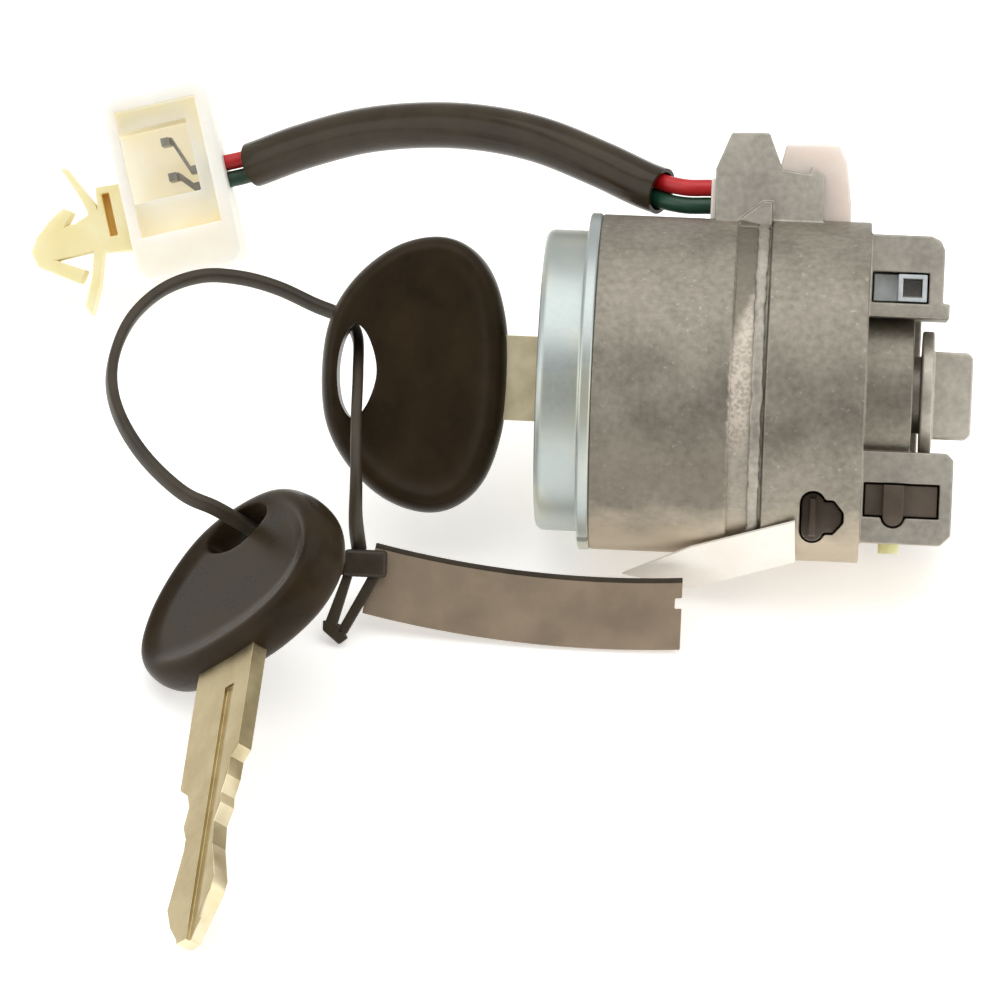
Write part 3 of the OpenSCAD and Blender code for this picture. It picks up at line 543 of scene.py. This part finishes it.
# %% [markdown]
# ## Softened castings and pressings
# A CAD solid has knife edges, and no real casting or moulding does. The solid's mesh is copied, its
# doubled corners are merged, its flat facets are joined and cut afresh into triangles, and a Bevel
# modifier rounds every edge sharper than the limit. Large faces with holes in them don't survive the
# bevel, triangles do. Some faces take a second finish, such as the inside of the connector. A small test
# function picks them by their middle and their normal, both in the lock's own frame.


# %% Softened copies
def softened(name, body, edge_mm, finish, second=None, picks=None):
    """A bevelled copy that stands for a CAD node. Faces that picks() accepts take the second finish."""
    mesh = nodes[name].data.copy()
    mesh.materials.clear()
    work = bmesh.new()
    work.from_mesh(mesh)
    bmesh.ops.remove_doubles(work, verts=work.verts, dist=0.002 * MM)
    bmesh.ops.dissolve_limit(work, angle_limit=math.radians(0.5), verts=work.verts, edges=work.edges)
    bmesh.ops.triangulate(work, faces=work.faces)
    work.to_mesh(mesh)
    work.free()
    mesh.shade_smooth()
    worker = worker_from(mesh)
    bevel = worker.modifiers.new("edges", "BEVEL")
    bevel.width = edge_mm * MM
    bevel.segments = 2
    bevel.limit_method = "ANGLE"
    bevel.angle_limit = math.radians(32)
    bevel.use_clamp_overlap = False
    bevel.loop_slide = False
    flatten = worker.modifiers.new("flat faces", "WEIGHTED_NORMAL")
    flatten.keep_sharp = True
    mesh = baked(worker)
    for face in mesh.polygons:
        chosen = picks and picks(lock_mm(face.center), lock_mm(face.normal * MM))
        face.material_index = 1 if chosen else 0
    finishes = [finish, second] if second else [finish]
    made = finish_piece(name + "_dressed", mesh, body, finishes, [name], None)
    print(made.name, len(mesh.polygons), "faces")
    return made


# %% [markdown]
# ## Connector and clip
# The connector is natural nylon, milky where it is thick. Its recess takes a paler, warmer copy of the
# nylon, painted light that lifts the shade inside it, and the slot of the clip on its side takes amber,
# painted shade. Both tests first turn a place into the connector's own frame.

# %% Connector
CONNECTOR_AT = Vector((-54, 22.8, -34))
CONNECTOR_TURN = math.radians(15)
CONNECTOR_SIZE = Vector((13, 22.5, 11))
CLIP_FOOT = Vector((-6.5, -4.5, 0))
# The recess lies this far in from the connector's low and high sides
RECESS_LOW, RECESS_HIGH = Vector((1, 4.8, 0.6)), Vector((1, 1.2, 0.25))
# The slot's two corners, from the clip's foot
CLIP_SLOT_LOW, CLIP_SLOT_HIGH = Vector((-2.8, -0.5, 0)), Vector((-1.5, 5.2, 2.1))


def in_connector(middle):
    return Matrix.Rotation(-CONNECTOR_TURN, 3, "Z") @ (middle - CONNECTOR_AT)


def within(place, low, high):
    """Whether a place lies inside the box between two corners."""
    return all(a < p < b for a, p, b in zip(low, place, high))


def in_recess(middle, normal):
    half = CONNECTOR_SIZE / 2
    return within(in_connector(middle), RECESS_LOW - half, half - RECESS_HIGH)


def in_clip_slot(middle, normal):
    return within(in_connector(middle) - CLIP_FOOT, CLIP_SLOT_LOW, CLIP_SLOT_HIGH)


connector = softened("connector_body", "barrel", 0.15, white_nylon, recess_lit_nylon, in_recess)
clip = softened("anchor_clip", "barrel", 0.2, cream_nylon, slot_shade_nylon, in_clip_slot)

# %% [markdown]
# ## Tubes along a path
# The wires and their sleeve are tubes along one route. A Geometry Nodes tree sweeps a circle along a
# chain of edges, with the radius and the number of sides as inputs. The same tree then serves all three,
# and a fourth tube would cost one line. A second tree comes later, so what both begin and end with is in
# functions.


# %% Tree helpers
def start_tree(name, result, inputs):
    """A Geometry Nodes tree, the identifiers of its named inputs, and the sockets that give them."""
    tree = bpy.data.node_groups.new(name, "GeometryNodeTree")
    labels = {
        label: tree.interface.new_socket(label, in_out="INPUT", socket_type="NodeSocket" + kind).identifier
        for label, kind in inputs.items()
    }
    tree.interface.new_socket(result, in_out="OUTPUT", socket_type="NodeSocketGeometry")
    return tree, labels, add(tree, "NodeGroupInput").outputs


def end_tree(tree, geometry, finish):
    """Makes instances real, gives them the finish and links them to the tree's output."""
    real = add(tree, "GeometryNodeRealizeInstances", {"Geometry": geometry}).outputs["Geometry"]
    painted = add(tree, "GeometryNodeSetMaterial", {"Geometry": real, "Material": finish})
    add(tree, "NodeGroupOutput", {0: painted.outputs["Geometry"]})


def chain_worker(path, tree, labels, values):
    """A scratch object whose tree works with these values on a chain of points in the row frame."""
    chain = bpy.data.meshes.new("path")
    chain.from_pydata(path, [(i, i + 1) for i in range(len(path) - 1)], [])
    worker = worker_from(chain)
    modifier = worker.modifiers.new(tree.name, "NODES")
    modifier.node_group = tree
    for label, value in values.items():
        modifier[labels[label]] = value
    return worker


print("tree helpers ready")

# %% Tube tree
tube_kinds = {
    "Path": "Geometry",
    "Radius": "Float",
    "Sides": "Int",
    "Closed Ends": "Bool",
    "Finish": "Material",
}
tube_tree, tube_inputs, given = start_tree("tube along a path", "Tube", tube_kinds)
line = add(tube_tree, "GeometryNodeMeshToCurve", {"Mesh": given["Path"]})
section = add(
    tube_tree, "GeometryNodeCurvePrimitiveCircle", {"Resolution": given["Sides"], "Radius": given["Radius"]}
)
swept = add(
    tube_tree,
    "GeometryNodeCurveToMesh",
    {
        "Curve": line.outputs["Curve"],
        "Profile Curve": section.outputs["Curve"],
        "Fill Caps": given["Closed Ends"],
    },
)
end_tree(tube_tree, swept.outputs["Mesh"], given["Finish"])


def tube_worker(path, radius, sides, closed, finish):
    """A scratch object whose tree sweeps a tube along a path in the row frame."""
    values = {"Radius": radius, "Sides": sides, "Closed Ends": closed, "Finish": finish}
    return chain_worker(path, tube_tree, tube_inputs, values)


print("tube inputs:", list(tube_inputs))

# %% [markdown]
# ## The lead
# Two PVC wires run from the reminder switch through a black sleeve to the connector. The route below
# repeats the CAD solids' points. Each wire keeps a fixed distance from the middle line, one above the
# other.

# %% Wires
LEAD = [
    (16, 22.4, -3.2), (12.5, 22.4, -3.2), (9, 22.4, -4), (5, 23.4, -6), (-1, 26, -9), (-8.5, 28.8, -13),
    (-16, 30.2, -17), (-23.5, 30.4, -21), (-31, 29.6, -25.5), (-38.5, 27.6, -30), (-44.5, 25.4, -33.4),
    (-47.721, 24.482, -34), (-50.619, 23.706, -34),
]
LEAD_STEPS = 6
WIRE_D = 2.0
WIRE_APART = 1.05
WIRE_SIDES, SLEEVE_SIDES = 20, 32
SLEEVE_D = 5.6
SLEEVE_WALL = 0.45
lead_path = open_curve(LEAD, LEAD_STEPS)
side_up = Vector((0, 1, 0))


def wire_path(side):
    made = []
    for i, point in enumerate(lead_path):
        upward = directions(lead_path, i, side_up)[2]
        made.append(row(point + upward * side * WIRE_APART))
    return made


for name, side, finish, slot in (
    ("wire_red_dressed", 1, red_pvc, "red_pvc"),
    ("wire_green_dressed", -1, green_pvc, "green_pvc"),
):
    path = wire_path(side)
    mesh = baked(tube_worker(path, WIRE_D / 2 * MM, WIRE_SIDES, True, finish))
    wire = finish_piece(name, mesh, "barrel", [finish], [name.replace("_dressed", "")], 50)
    print(name, round(path_length(path) / MM, 1), "mm long,", len(mesh.polygons), "faces")

# %% [markdown]
# ## The sleeve
# The sleeve is soft PVC tubing, cut with scissors, so its ends are open and show their wall. The same
# tree makes an open tube, and Solidify gives it the wall.

# %% Sleeve
# The points of the lead's path where the sleeve begins and ends
SLEEVE_FROM, SLEEVE_TO = 16, 60
sleeve_path = [row(p) for p in lead_path[SLEEVE_FROM : SLEEVE_TO + 1]]
worker = tube_worker(sleeve_path, SLEEVE_D / 2 * MM, SLEEVE_SIDES, False, sleeve_pvc)
wall = worker.modifiers.new("wall", "SOLIDIFY")
wall.thickness = SLEEVE_WALL * MM
wall.offset = -1
mesh = baked(worker)
sleeve = finish_piece("wire_sleeve_dressed", mesh, "barrel", [sleeve_pvc], ["wire_sleeve"], 40)
print("sleeve", round(path_length(sleeve_path) / MM, 1), "mm long,", len(mesh.polygons), "faces")

# %% [markdown]
# ## Castings, pressings and blades
# The same softening serves every hard part. The cuts of the two blades are freshly milled, so their
# sloping facets are brighter than the worn sides. The spare key's facets are tested in the key's own
# frame, which its place matrix gives.

# %% Hard parts
HEAD_X = -10.5
HEAD_LEN = 22
BLADE_TIP = 27.5
CUT_LEN = 26
MOST_SIDEWAYS, LEAST_SLOPE = 0.5, 0.24
EYE_AT = Vector((36.5, 12.3))
EYE_HALF = 1.15
SPARE_AT = Vector((-38.9, -25.6, 18.8))
spare_place = (
    Matrix.Translation(SPARE_AT) @ turn_spare @ Matrix.Translation((-(HEAD_X - HEAD_LEN / 2), 0, 0))
)


def in_cut(middle, normal):
    """Whether a face slopes across the blade, within the length that is cut."""
    sloping = abs(normal.z) < MOST_SIDEWAYS and abs(normal.x) > LEAST_SLOPE
    return sloping and middle.x > BLADE_TIP - CUT_LEN


# Painted shade: faces in the plate's eye take the darker spring steel
def in_shaded_eye(middle, normal):
    return abs(middle.x - EYE_AT.x) < EYE_HALF and abs(middle.y - EYE_AT.y) < EYE_HALF


def in_spare_cut(middle, normal):
    back = spare_place.inverted()
    return in_cut(back @ middle, back.to_3x3() @ normal)


# The plate's eye is painted darker, as shade in the hole
softened("retainer_plate", "barrel", 0.12, plate_steel, spring_steel, in_shaded_eye)
softened("rear_stop", "barrel", 0.1, lifted_black_nylon)
softened("retaining_pin", "latch", 0.2, lifted_black_nylon)
softened("drive_tail", "plug", 0.25, tail_zinc)
softened("switch_body", "barrel", 0.3, pink_nylon)
softened("key_blade", "key", 0.08, blade_silver, cut_silver, in_cut)
softened("spare_key_blade", "tag", 0.08, spare_silver, cut_silver, in_spare_cut)

# %% [markdown]
# ## The cap
# The cap is pressed from sheet and then plated. A pressing is round, so its section is drawn once, as
# distance along the axis and radius, and turned round the axis. The corners of the section are small
# arcs, which catch the light as a bright line. A Boolean cuts the small gap in the flange's edge.

# %% Cap
CAP_R = 17.7
CAP_X = -6.5
CAP_SHEET = 1.2
CAP_HOLE_R = 7
CAP_CORNER = 1.0
FLANGE_R = 19.8
FLANGE_T = 1.4
FOOT_R, FRONT_R, BACK_R = 0.4, 0.3, 0.35
CAP_STEPS = 160
ARC_STEPS = 6
GAP_X, GAP_Y, GAP_Z = (-2.4, 1), (-39, -17.8), (6, 7.4)


def arc_points(x, r, size, start, end):
    """Points of an arc in the section, as (x, radius), from one angle to another in degrees."""
    turns = [math.radians(start + (end - start) * k / ARC_STEPS) for k in range(ARC_STEPS + 1)]
    return [(x + size * math.cos(a), r + size * math.sin(a)) for a in turns]


cap_section = (
    [(CAP_X, CAP_HOLE_R)]
    + arc_points(CAP_X + CAP_CORNER, CAP_R - CAP_CORNER, CAP_CORNER, 180, 90)
    + arc_points(-FLANGE_T - FOOT_R, CAP_R + FOOT_R, FOOT_R, -90, 0)
    + arc_points(FRONT_R - FLANGE_T, FLANGE_R - FRONT_R, FRONT_R, 180, 90)
    + arc_points(-BACK_R, FLANGE_R - BACK_R, BACK_R, 90, 0)
    + [(0, CAP_R - CAP_SHEET), (CAP_X + CAP_SHEET, CAP_R - CAP_SHEET), (CAP_X + CAP_SHEET, CAP_HOLE_R)]
)
work = bmesh.new()
turned = []
for k in range(CAP_STEPS):
    angle = 2 * math.pi * k / CAP_STEPS
    turned.append([
        work.verts.new(row((x, r * math.sin(angle), r * math.cos(angle)))) for x, r in cap_section
    ])
count = len(cap_section)
for k in range(CAP_STEPS):
    this, following = turned[k], turned[(k + 1) % CAP_STEPS]
    for i in range(count):
        j = (i + 1) % count
        work.faces.new((this[i], this[j], following[j], following[i]))
bmesh.ops.recalc_face_normals(work, faces=work.faces)
cap_mesh = bpy.data.meshes.new("cap")
work.to_mesh(cap_mesh)
work.free()
corners = [(GAP_X[i], GAP_Y[j]) for i, j in ((0, 0), (1, 0), (1, 1), (0, 1))]
gap = worker_from(loft([[row((x, y, z)) for x, y in corners] for z in GAP_Z]))
worker = worker_from(cap_mesh)
cut = worker.modifiers.new("gap", "BOOLEAN")
cut.operation = "DIFFERENCE"
cut.object = gap
cap_mesh = baked(worker)
bpy.data.objects.remove(gap)
finish_piece("face_cap_dressed", cap_mesh, "barrel", [plated], ["face_cap"], 40)
print("cap", len(cap_mesh.polygons), "faces")

# %% [markdown]
# ## The barrel and its flash line
# Where the two halves of the die meet, a thin ragged line of metal is left round the casting. It follows
# an arc, so a Geometry Nodes tree makes it: it takes a chain of points, lets them wander along the
# barrel with a noise, varies the thickness with a second noise, sweeps a small circle along them and
# presses the sweep flat on the barrel. The line then joins the softened barrel, because it is the same
# metal.

# %% Flash line
flash_kinds = {
    "Path": "Geometry",
    "Radius": "Float",
    "Wander": "Float",
    "Base Radius": "Float",
    "Flatness": "Float",
    "Noise Scale": "Float",
    "Finish": "Material",
}
flash_tree, flash_inputs, given = start_tree("flash line", "Line", flash_kinds)
wave = add(flash_tree, "ShaderNodeTexNoise", {"Scale": given["Noise Scale"], "Detail": 3})
centred = add(flash_tree, "ShaderNodeMath", {0: wave.outputs["Fac"], 1: 0.5}, operation="SUBTRACT")
shift = add(flash_tree, "ShaderNodeMath", {0: centred.outputs[0], 1: given["Wander"]}, operation="MULTIPLY")
offset = add(flash_tree, "ShaderNodeCombineXYZ", {"X": shift.outputs[0]})
moved = add(
    flash_tree,
    "GeometryNodeSetPosition",
    {"Geometry": given["Path"], "Offset": offset.outputs["Vector"]},
)
line = add(flash_tree, "GeometryNodeMeshToCurve", {"Mesh": moved.outputs["Geometry"]})
finer = add(flash_tree, "ShaderNodeMath", {0: given["Noise Scale"], 1: 2.7}, operation="MULTIPLY")
lumps = add(flash_tree, "ShaderNodeTexNoise", {"Scale": finer.outputs[0], "Detail": 2})
thick = add(
    flash_tree,
    "ShaderNodeMapRange",
    {"Value": lumps.outputs["Fac"], "From Min": 0.3, "From Max": 0.7, "To Min": 0.35, "To Max": 1.0},
)
varied = add(
    flash_tree,
    "GeometryNodeSetCurveRadius",
    {"Curve": line.outputs["Curve"], "Radius": thick.outputs["Result"]},
)
section = add(flash_tree, "GeometryNodeCurvePrimitiveCircle", {"Resolution": 12, "Radius": given["Radius"]})
swept = add(
    flash_tree,
    "GeometryNodeCurveToMesh",
    {"Curve": varied.outputs["Curve"], "Profile Curve": section.outputs["Curve"], "Fill Caps": True},
)
here = add(flash_tree, "GeometryNodeInputPosition").outputs["Position"]
along = add(flash_tree, "ShaderNodeVectorMath", {0: here, 1: (1, 0, 0)}, operation="MULTIPLY")
outward = add(flash_tree, "ShaderNodeVectorMath", {0: here, 1: (0, 1, 1)}, operation="MULTIPLY")
far = add(flash_tree, "ShaderNodeVectorMath", {0: outward.outputs["Vector"]}, operation="LENGTH")
distance = far.outputs["Value"]
over = add(flash_tree, "ShaderNodeMath", {0: distance, 1: given["Base Radius"]}, operation="SUBTRACT")
kept = add(
    flash_tree,
    "ShaderNodeMath",
    {0: over.outputs[0], 1: given["Flatness"], 2: given["Base Radius"]},
    operation="MULTIPLY_ADD",
)
share = add(flash_tree, "ShaderNodeMath", {0: kept.outputs[0], 1: distance}, operation="DIVIDE")
pressed = add(
    flash_tree,
    "ShaderNodeVectorMath",
    {0: outward.outputs["Vector"], "Scale": share.outputs[0]},
    operation="SCALE",
)
placed = add(
    flash_tree,
    "ShaderNodeVectorMath",
    {0: pressed.outputs["Vector"], 1: along.outputs["Vector"]},
    operation="ADD",
)
ribbon = add(
    flash_tree,
    "GeometryNodeSetPosition",
    {"Geometry": swept.outputs["Mesh"], "Position": placed.outputs["Vector"]},
)
end_tree(flash_tree, ribbon.outputs["Geometry"], given["Finish"])
print("flash inputs:", list(flash_inputs))

# %% Barrel
BARREL_LEN = 31.5
BLOCK_Z = 7
FLASH_X = 19.0
FLASH_BASE_R = 19.6
FLASH_FROM, FLASH_TO = 84, -62
FLASH_STEPS = 160
FLAT_NEAR = 0.4
BOSS_ROOT = 0.5
BLOCK_FACING, BOSS_FACING = 0.9, 0.4


def on_flat(middle, normal):
    """Whether a face is a front face of a rear block or of the boss."""
    on_block = middle.x > BARREL_LEN and abs(middle.z - BLOCK_Z) < FLAT_NEAR
    on_boss = middle.y > BARREL_R - BOSS_ROOT and middle.x < BARREL_LEN
    return (normal.z > BLOCK_FACING and on_block) or (normal.z > BOSS_FACING and on_boss)


# The front faces of the rear blocks and the boss take the painted light copy of the zinc
barrel = softened("housing", "barrel", 0.22, barrel_zinc, painted_lit_zinc, on_flat)
arc = []
for k in range(FLASH_STEPS + 1):
    angle = math.radians(FLASH_FROM + (FLASH_TO - FLASH_FROM) * k / FLASH_STEPS)
    arc.append(row((FLASH_X, FLASH_BASE_R * math.sin(angle), FLASH_BASE_R * math.cos(angle))))
flash_values = {
    "Radius": 0.65 * MM,
    "Wander": 0.6 * MM,
    "Base Radius": FLASH_BASE_R * MM,
    "Flatness": 0.35,
    "Noise Scale": per_mm(1.6),
    "Finish": zinc_rubbed,
}
flash_mesh = baked(chain_worker(arc, flash_tree, flash_inputs, flash_values))
work = bmesh.new()
work.from_mesh(barrel.data)
barrel_faces = len(work.faces)
flash_slot = len(barrel.data.materials)
work.from_mesh(flash_mesh)
work.faces.ensure_lookup_table()
for face in work.faces[barrel_faces:]:
    face.material_index = flash_slot
    face.smooth = True
work.to_mesh(barrel.data)
work.free()
barrel.data.materials.append(zinc_rubbed)
print("flash line", len(flash_mesh.polygons), "faces")

# %% [markdown]
# ## Parts that keep their CAD shape
# Springs, wafers and the other inner parts already have their right form, and most of them hardly show.
# They keep their CAD meshes and only get their finish.

# %% Finishes on CAD nodes
for name, finish in (
    ("return_spring", spring_steel),
    ("rotor", zinc),
    ("wafers", contact_brass),
    ("wafer_springs", spring_steel),
    ("detent_ball", spring_steel),
    ("detent_spring", spring_steel),
    ("switch_plunger", lifted_black_nylon),
    ("switch_contacts", contact_brass),
    ("terminals", tinned_steel),
    ("stop_pin", yellow_nylon),
    ("paper_label", paper),
):
    nodes[name].data.materials.clear()
    nodes[name].data.materials.append(finish)
print("finished CAD nodes in place")

# %% [markdown]
# ## Springs
# Two small springs push the retaining pin and the switch's plunger out. Their inner ends rest on fixed
# seats. Each keeps its CAD shape in a mesh of its own and takes the spring steel finish.

# %% Springs
for name, joint, inwards, travel in (
    ("retaining_pin_spring", "latch_press", (0, 0, -1), 1.5),
    ("plunger_spring", "plunger_press", (0, 1, 0), 1.2),
):
    axis = row(inwards).normalized()
    mesh = nodes[name].data.copy()
    mesh.materials.clear()
    spring = finish_piece(name + "_dressed", mesh, "barrel", [spring_steel], [name], 30)
    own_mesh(spring)

# %% [markdown]
# ## Key heads
# Each head is a thick moulding with a rounded rim round a dished face, and a slot for the loop. The
# outline is a smooth curve through a few points. Rings of that outline, each a little further in, climb
# over the rim and down to the face. The slot is cut with a Boolean, and a fine voxel remesh with a
# little smoothing then rounds the slot's lips, as the mould does.

# %% Key head
HEAD_W = 32.6
RIM_T = 5.8
FACE_T = 4.6
SLOT_X = -28.2
SLOT_W = 4.6
SLOT_LEN = 11.4
head_half = [
    (0, 0), (0.02, 0.4), (0.1, 0.74), (0.24, 0.94), (0.42, 1),
    (0.64, 0.91), (0.84, 0.68), (0.965, 0.38), (1, 0),
]
slot_half = [(-0.5, 0), (-0.4, 0.3), (-0.12, 0.48), (0.16, 0.42), (0.4, 0.22), (0.5, 0)]
rim_section = [(0, 0), (0.15, 0.4), (0.5, 0.72), (1, 0.92), (1.6, 1), (2.2, 0.97)]
dish_section = [(2.9, 0.4), (3.6, 0.12), (4.2, 0)]


def both_sides(half):
    return list(half) + [(x, -y) for x, y in half[-2:0:-1]]


head_edge = closed_curve([(HEAD_X - x * HEAD_LEN, y * HEAD_W / 2) for x, y in both_sides(head_half)], 10)
slot_edge = closed_curve([(SLOT_X + x * SLOT_W, y * SLOT_LEN) for x, y in both_sides(slot_half)], 8)
rise = (RIM_T - FACE_T) / 2
levels = [(d, z * RIM_T / 2) for d, z in rim_section]
levels += [(d, FACE_T / 2 + z * rise) for d, z in dish_section]
levels = [tuple(p) for p in open_curve(levels, 3)]


def inset(edge, distance):
    """The outline moved inwards, square to itself at each point."""
    n = len(edge)
    made = []
    for i in range(n):
        along = (edge[(i + 1) % n] - edge[i - 1]).normalized()
        made.append(edge[i] + distance * Vector((-along.y, along.x)))
    return made


def area(edge):
    return sum(a.x * b.y - b.x * a.y for a, b in zip(edge, edge[1:] + edge[:1])) / 2


inwards = 1 if area(head_edge) > 0 else -1
top = [[(p.x, p.y, z) for p in inset(head_edge, inwards * d)] for d, z in levels]
bottom = [[(x, y, -z) for x, y, z in ring] for ring in top[1:]]
head_mesh = loft(top[::-1] + bottom)
cutter_mesh = loft([[(p.x, p.y, z) for p in slot_edge] for z in (-RIM_T, RIM_T)])
worker = worker_from(head_mesh)
cutter = worker_from(cutter_mesh)
cut = worker.modifiers.new("slot", "BOOLEAN")
cut.operation = "DIFFERENCE"
cut.object = cutter
# Sizes here are still millimetres: the mesh is scaled when it is placed
remesh = worker.modifiers.new("skin", "REMESH")
remesh.mode = "VOXEL"
remesh.voxel_size = 0.2
soften = worker.modifiers.new("lips", "SMOOTH")
soften.factor = 0.5
soften.iterations = 8
head_form = baked(worker)
bpy.data.objects.remove(cutter)
print("head", len(head_form.polygons), "faces")

# %% [markdown]
# The same head serves both keys. The one in the lock only rolls with the lock. The spare one is turned
# and moved to where it lies on the table, by the same numbers as its CAD solid.

# %% Both heads
lock_matrix = Matrix.Scale(MM, 4) @ Matrix.Rotation(ROLL, 4, "X")
for name, body, matrix in (
    ("key_head", "key", lock_matrix),
    ("spare_key_head", "tag", lock_matrix @ spare_place),
):
    mesh = head_form.copy()
    mesh.transform(matrix)
    finish_piece(name + "_dressed", mesh, body, [head_black], [name], 180)
print("heads placed")

# %% [markdown]
# ## The strap
# The tag is one nylon moulding: a strap that threads through both heads and locks into a block, a thin
# flag, and the strap's loose tail. The strap is a rounded flat section carried along its route. The
# section's broad side faces the middle of the loop, as a flat strap lies when it is bent.

# %% Strap
STRAP_W = 1.8
STRAP_T = 1.3
STRAP_REACH = 5.5
STRAP_PULL = 1.3
STRAP_SIDES = 16
SQUARENESS = 0.55
LOOP_MIDDLE = Vector((SLOT_X - 14, -5, 5))
strap_start = [
    (1.4, -21, 5), (1, -17.5, 7.4), (0.9, -13, 8.2), (0.6, -9, 6.8), (0.3, -5.2, 4), (0, 0, 0),
    (-0.5, 4.2, -3.3), (-2.4, 6.4, -5), (-6, 7.8, -6), (-10.4, 9.6, -6.2), (-14.8, 10.6, -5.6),
    (-19.3, 10.6, -4.4), (-23.6, 8.8, -2.4), (-26.8, 5.4, 0.6), (-28.3, 1.2, 4), (-28.2, -3, 8),
    (-26.4, -7.2, 12), (-23, -11.5, 15), (-18.4, -15.2, 17.2),
]
strap_route = [Vector(p) + Vector((SLOT_X, 0, 0)) for p in strap_start]
strap_route += [spare_place @ Vector((SLOT_X - STRAP_PULL, 0, z)) for z in (STRAP_REACH, 0, -STRAP_REACH)]
strap_route += [Vector((SLOT_X - 3.2, -23.6, 8.4)), Vector((SLOT_X + 0.4, -23, 5.4))]
strap_path = open_curve(strap_route, 8)


def squared(value):
    """A sine or cosine moved outwards, which turns a circle into a rounded square."""
    return math.copysign(abs(value) ** SQUARENESS, value)


turns = [2 * math.pi * k / STRAP_SIDES for k in range(STRAP_SIDES)]
strap_section = [(squared(math.cos(a)), squared(math.sin(a))) for a in turns]
rings = []
for i, point in enumerate(strap_path):
    across, upward = directions(strap_path, i, point - LOOP_MIDDLE)[1:]
    rings.append([
        row(point + across * (a * STRAP_W / 2) + upward * (b * STRAP_T / 2)) for a, b in strap_section
    ])
strap_mesh = loft(rings)
print("strap", round(path_length(strap_path), 1), "mm long")

# %% [markdown]
# ## Block, flag and tail
# The flag is a thin curved plate, so it is a grid between its two long edges, given its thickness by
# Solidify. The block and the tail are small bevelled mouldings. All of them join into one piece with the
# strap, because the real tag is one moulding.

# %% Flag
FLAG_LEN = 36
FLAG_W = 8.4
FLAG_T = 0.7
FLAG_ARC = 126
FLAG_TOP = -22.9
FLAG_MID = SLOT_X + 30.2
FLAG_LEFT = SLOT_X + 3.4
TAG_Z = 5.4
NICK = (4, 5)
FLAG_SLANT = 1.3
FLAG_EDGE = 0.12
flag_right = FLAG_LEFT + FLAG_LEN
columns, rows = 45, 14


def flag_point(s, t):
    """A point of the flag, by its share s along and t down from the top edge."""
    radius = FLAG_ARC + t * FLAG_W
    left = FLAG_LEFT - FLAG_SLANT * t
    x = left + s * (flag_right - left)
    y = FLAG_TOP + FLAG_ARC - math.sqrt(radius**2 - (x - FLAG_MID) ** 2)
    return Vector((x, y, TAG_Z))


verts = [row(flag_point(i / columns, j / rows)) for i in range(columns + 1) for j in range(rows + 1)]
step = rows + 1
faces = [
    (i * step + j, i * step + j + 1, (i + 1) * step + j + 1, (i + 1) * step + j)
    for i in range(columns)
    for j in range(rows)
    if i < columns - 1 or j not in NICK
]
flag_mesh = bpy.data.meshes.new("flag")
flag_mesh.from_pydata(verts, [], faces)
flag_mesh.update()
worker = worker_from(flag_mesh)
plate = worker.modifiers.new("plate", "SOLIDIFY")
plate.thickness = FLAG_T * MM
plate.offset = 0
soft = worker.modifiers.new("edges", "BEVEL")
soft.width = FLAG_EDGE * MM
soft.segments = 2
flag_mesh = baked(worker)
print("flag", len(flag_mesh.polygons), "faces")


# %% Block and tail
def bevelled(outline, low, high, edge_mm):
    """A prism over an outline in the lock's millimetres, with rounded edges."""
    mesh = loft([[row((x, y, z)) for x, y in outline] for z in (low, high)])
    worker = worker_from(mesh)
    soft = worker.modifiers.new("edges", "BEVEL")
    soft.width = edge_mm * MM
    soft.segments = 3
    soft.limit_method = "ANGLE"
    return baked(worker)


BLOCK_HALF = Vector((2.5, 1.6, 2))
# Painted shade: width in millimetres of the dark strip along the flag's top edge
EDGE_SHADE_STRIP = 0.55
block_x, block_y = SLOT_X + 2.3, -22.5
block_outline = [(block_x + x * BLOCK_HALF.x, block_y + y * BLOCK_HALF.y) for x, y in CORNERS]
block_mesh = bevelled(block_outline, TAG_Z - BLOCK_HALF.z, TAG_Z + BLOCK_HALF.z, 0.5)
root_y = block_y - 1.2
tip = Vector((SLOT_X - 1, -31.32))
tail_outlines = [
    [(SLOT_X + 4.2, root_y), (SLOT_X + 2.8, root_y), tip + Vector((0.2, 0.6)), tip + Vector((1.4, 0.4))],
    [(SLOT_X + 0.9, root_y), (SLOT_X - 0.2, root_y), tip + Vector((-1.2, 1.6)), tip + Vector((0.2, 1.2))],
    [tip + Vector(p) for p in ((-1.4, 2), (0.6, 1.6), (1.6, 0), (0.6, -0.8), (-1.4, 0.8))],
]
tail_meshes = [bevelled(outline, TAG_Z, TAG_Z + STRAP_T, 0.2) for outline in tail_outlines]
joined = bmesh.new()
for part in (strap_mesh, block_mesh, *tail_meshes):
    joined.from_mesh(part)
dark_faces = len(joined.faces)
joined.from_mesh(flag_mesh)
joined.faces.ensure_lookup_table()
for number, face in enumerate(joined.faces):
    # The flag takes the paler painted light copy of the nylon, but for a strip along its top edge that
    # keeps the dark nylon as painted shade of the edge
    x, y = lock_mm(face.calc_center_median()).xy
    top_y = FLAG_TOP + FLAG_ARC - math.sqrt(FLAG_ARC**2 - (x - FLAG_MID) ** 2)
    face.material_index = 1 if number >= dark_faces and y < top_y - EDGE_SHADE_STRIP else 0
tag_mesh = bpy.data.meshes.new("tag")
joined.to_mesh(tag_mesh)
joined.free()
finish_piece("key_tag_dressed", tag_mesh, "tag", [tag_nylon, flag_lit_nylon], ["key_tag"], 40)
print("tag", len(tag_mesh.polygons), "faces")
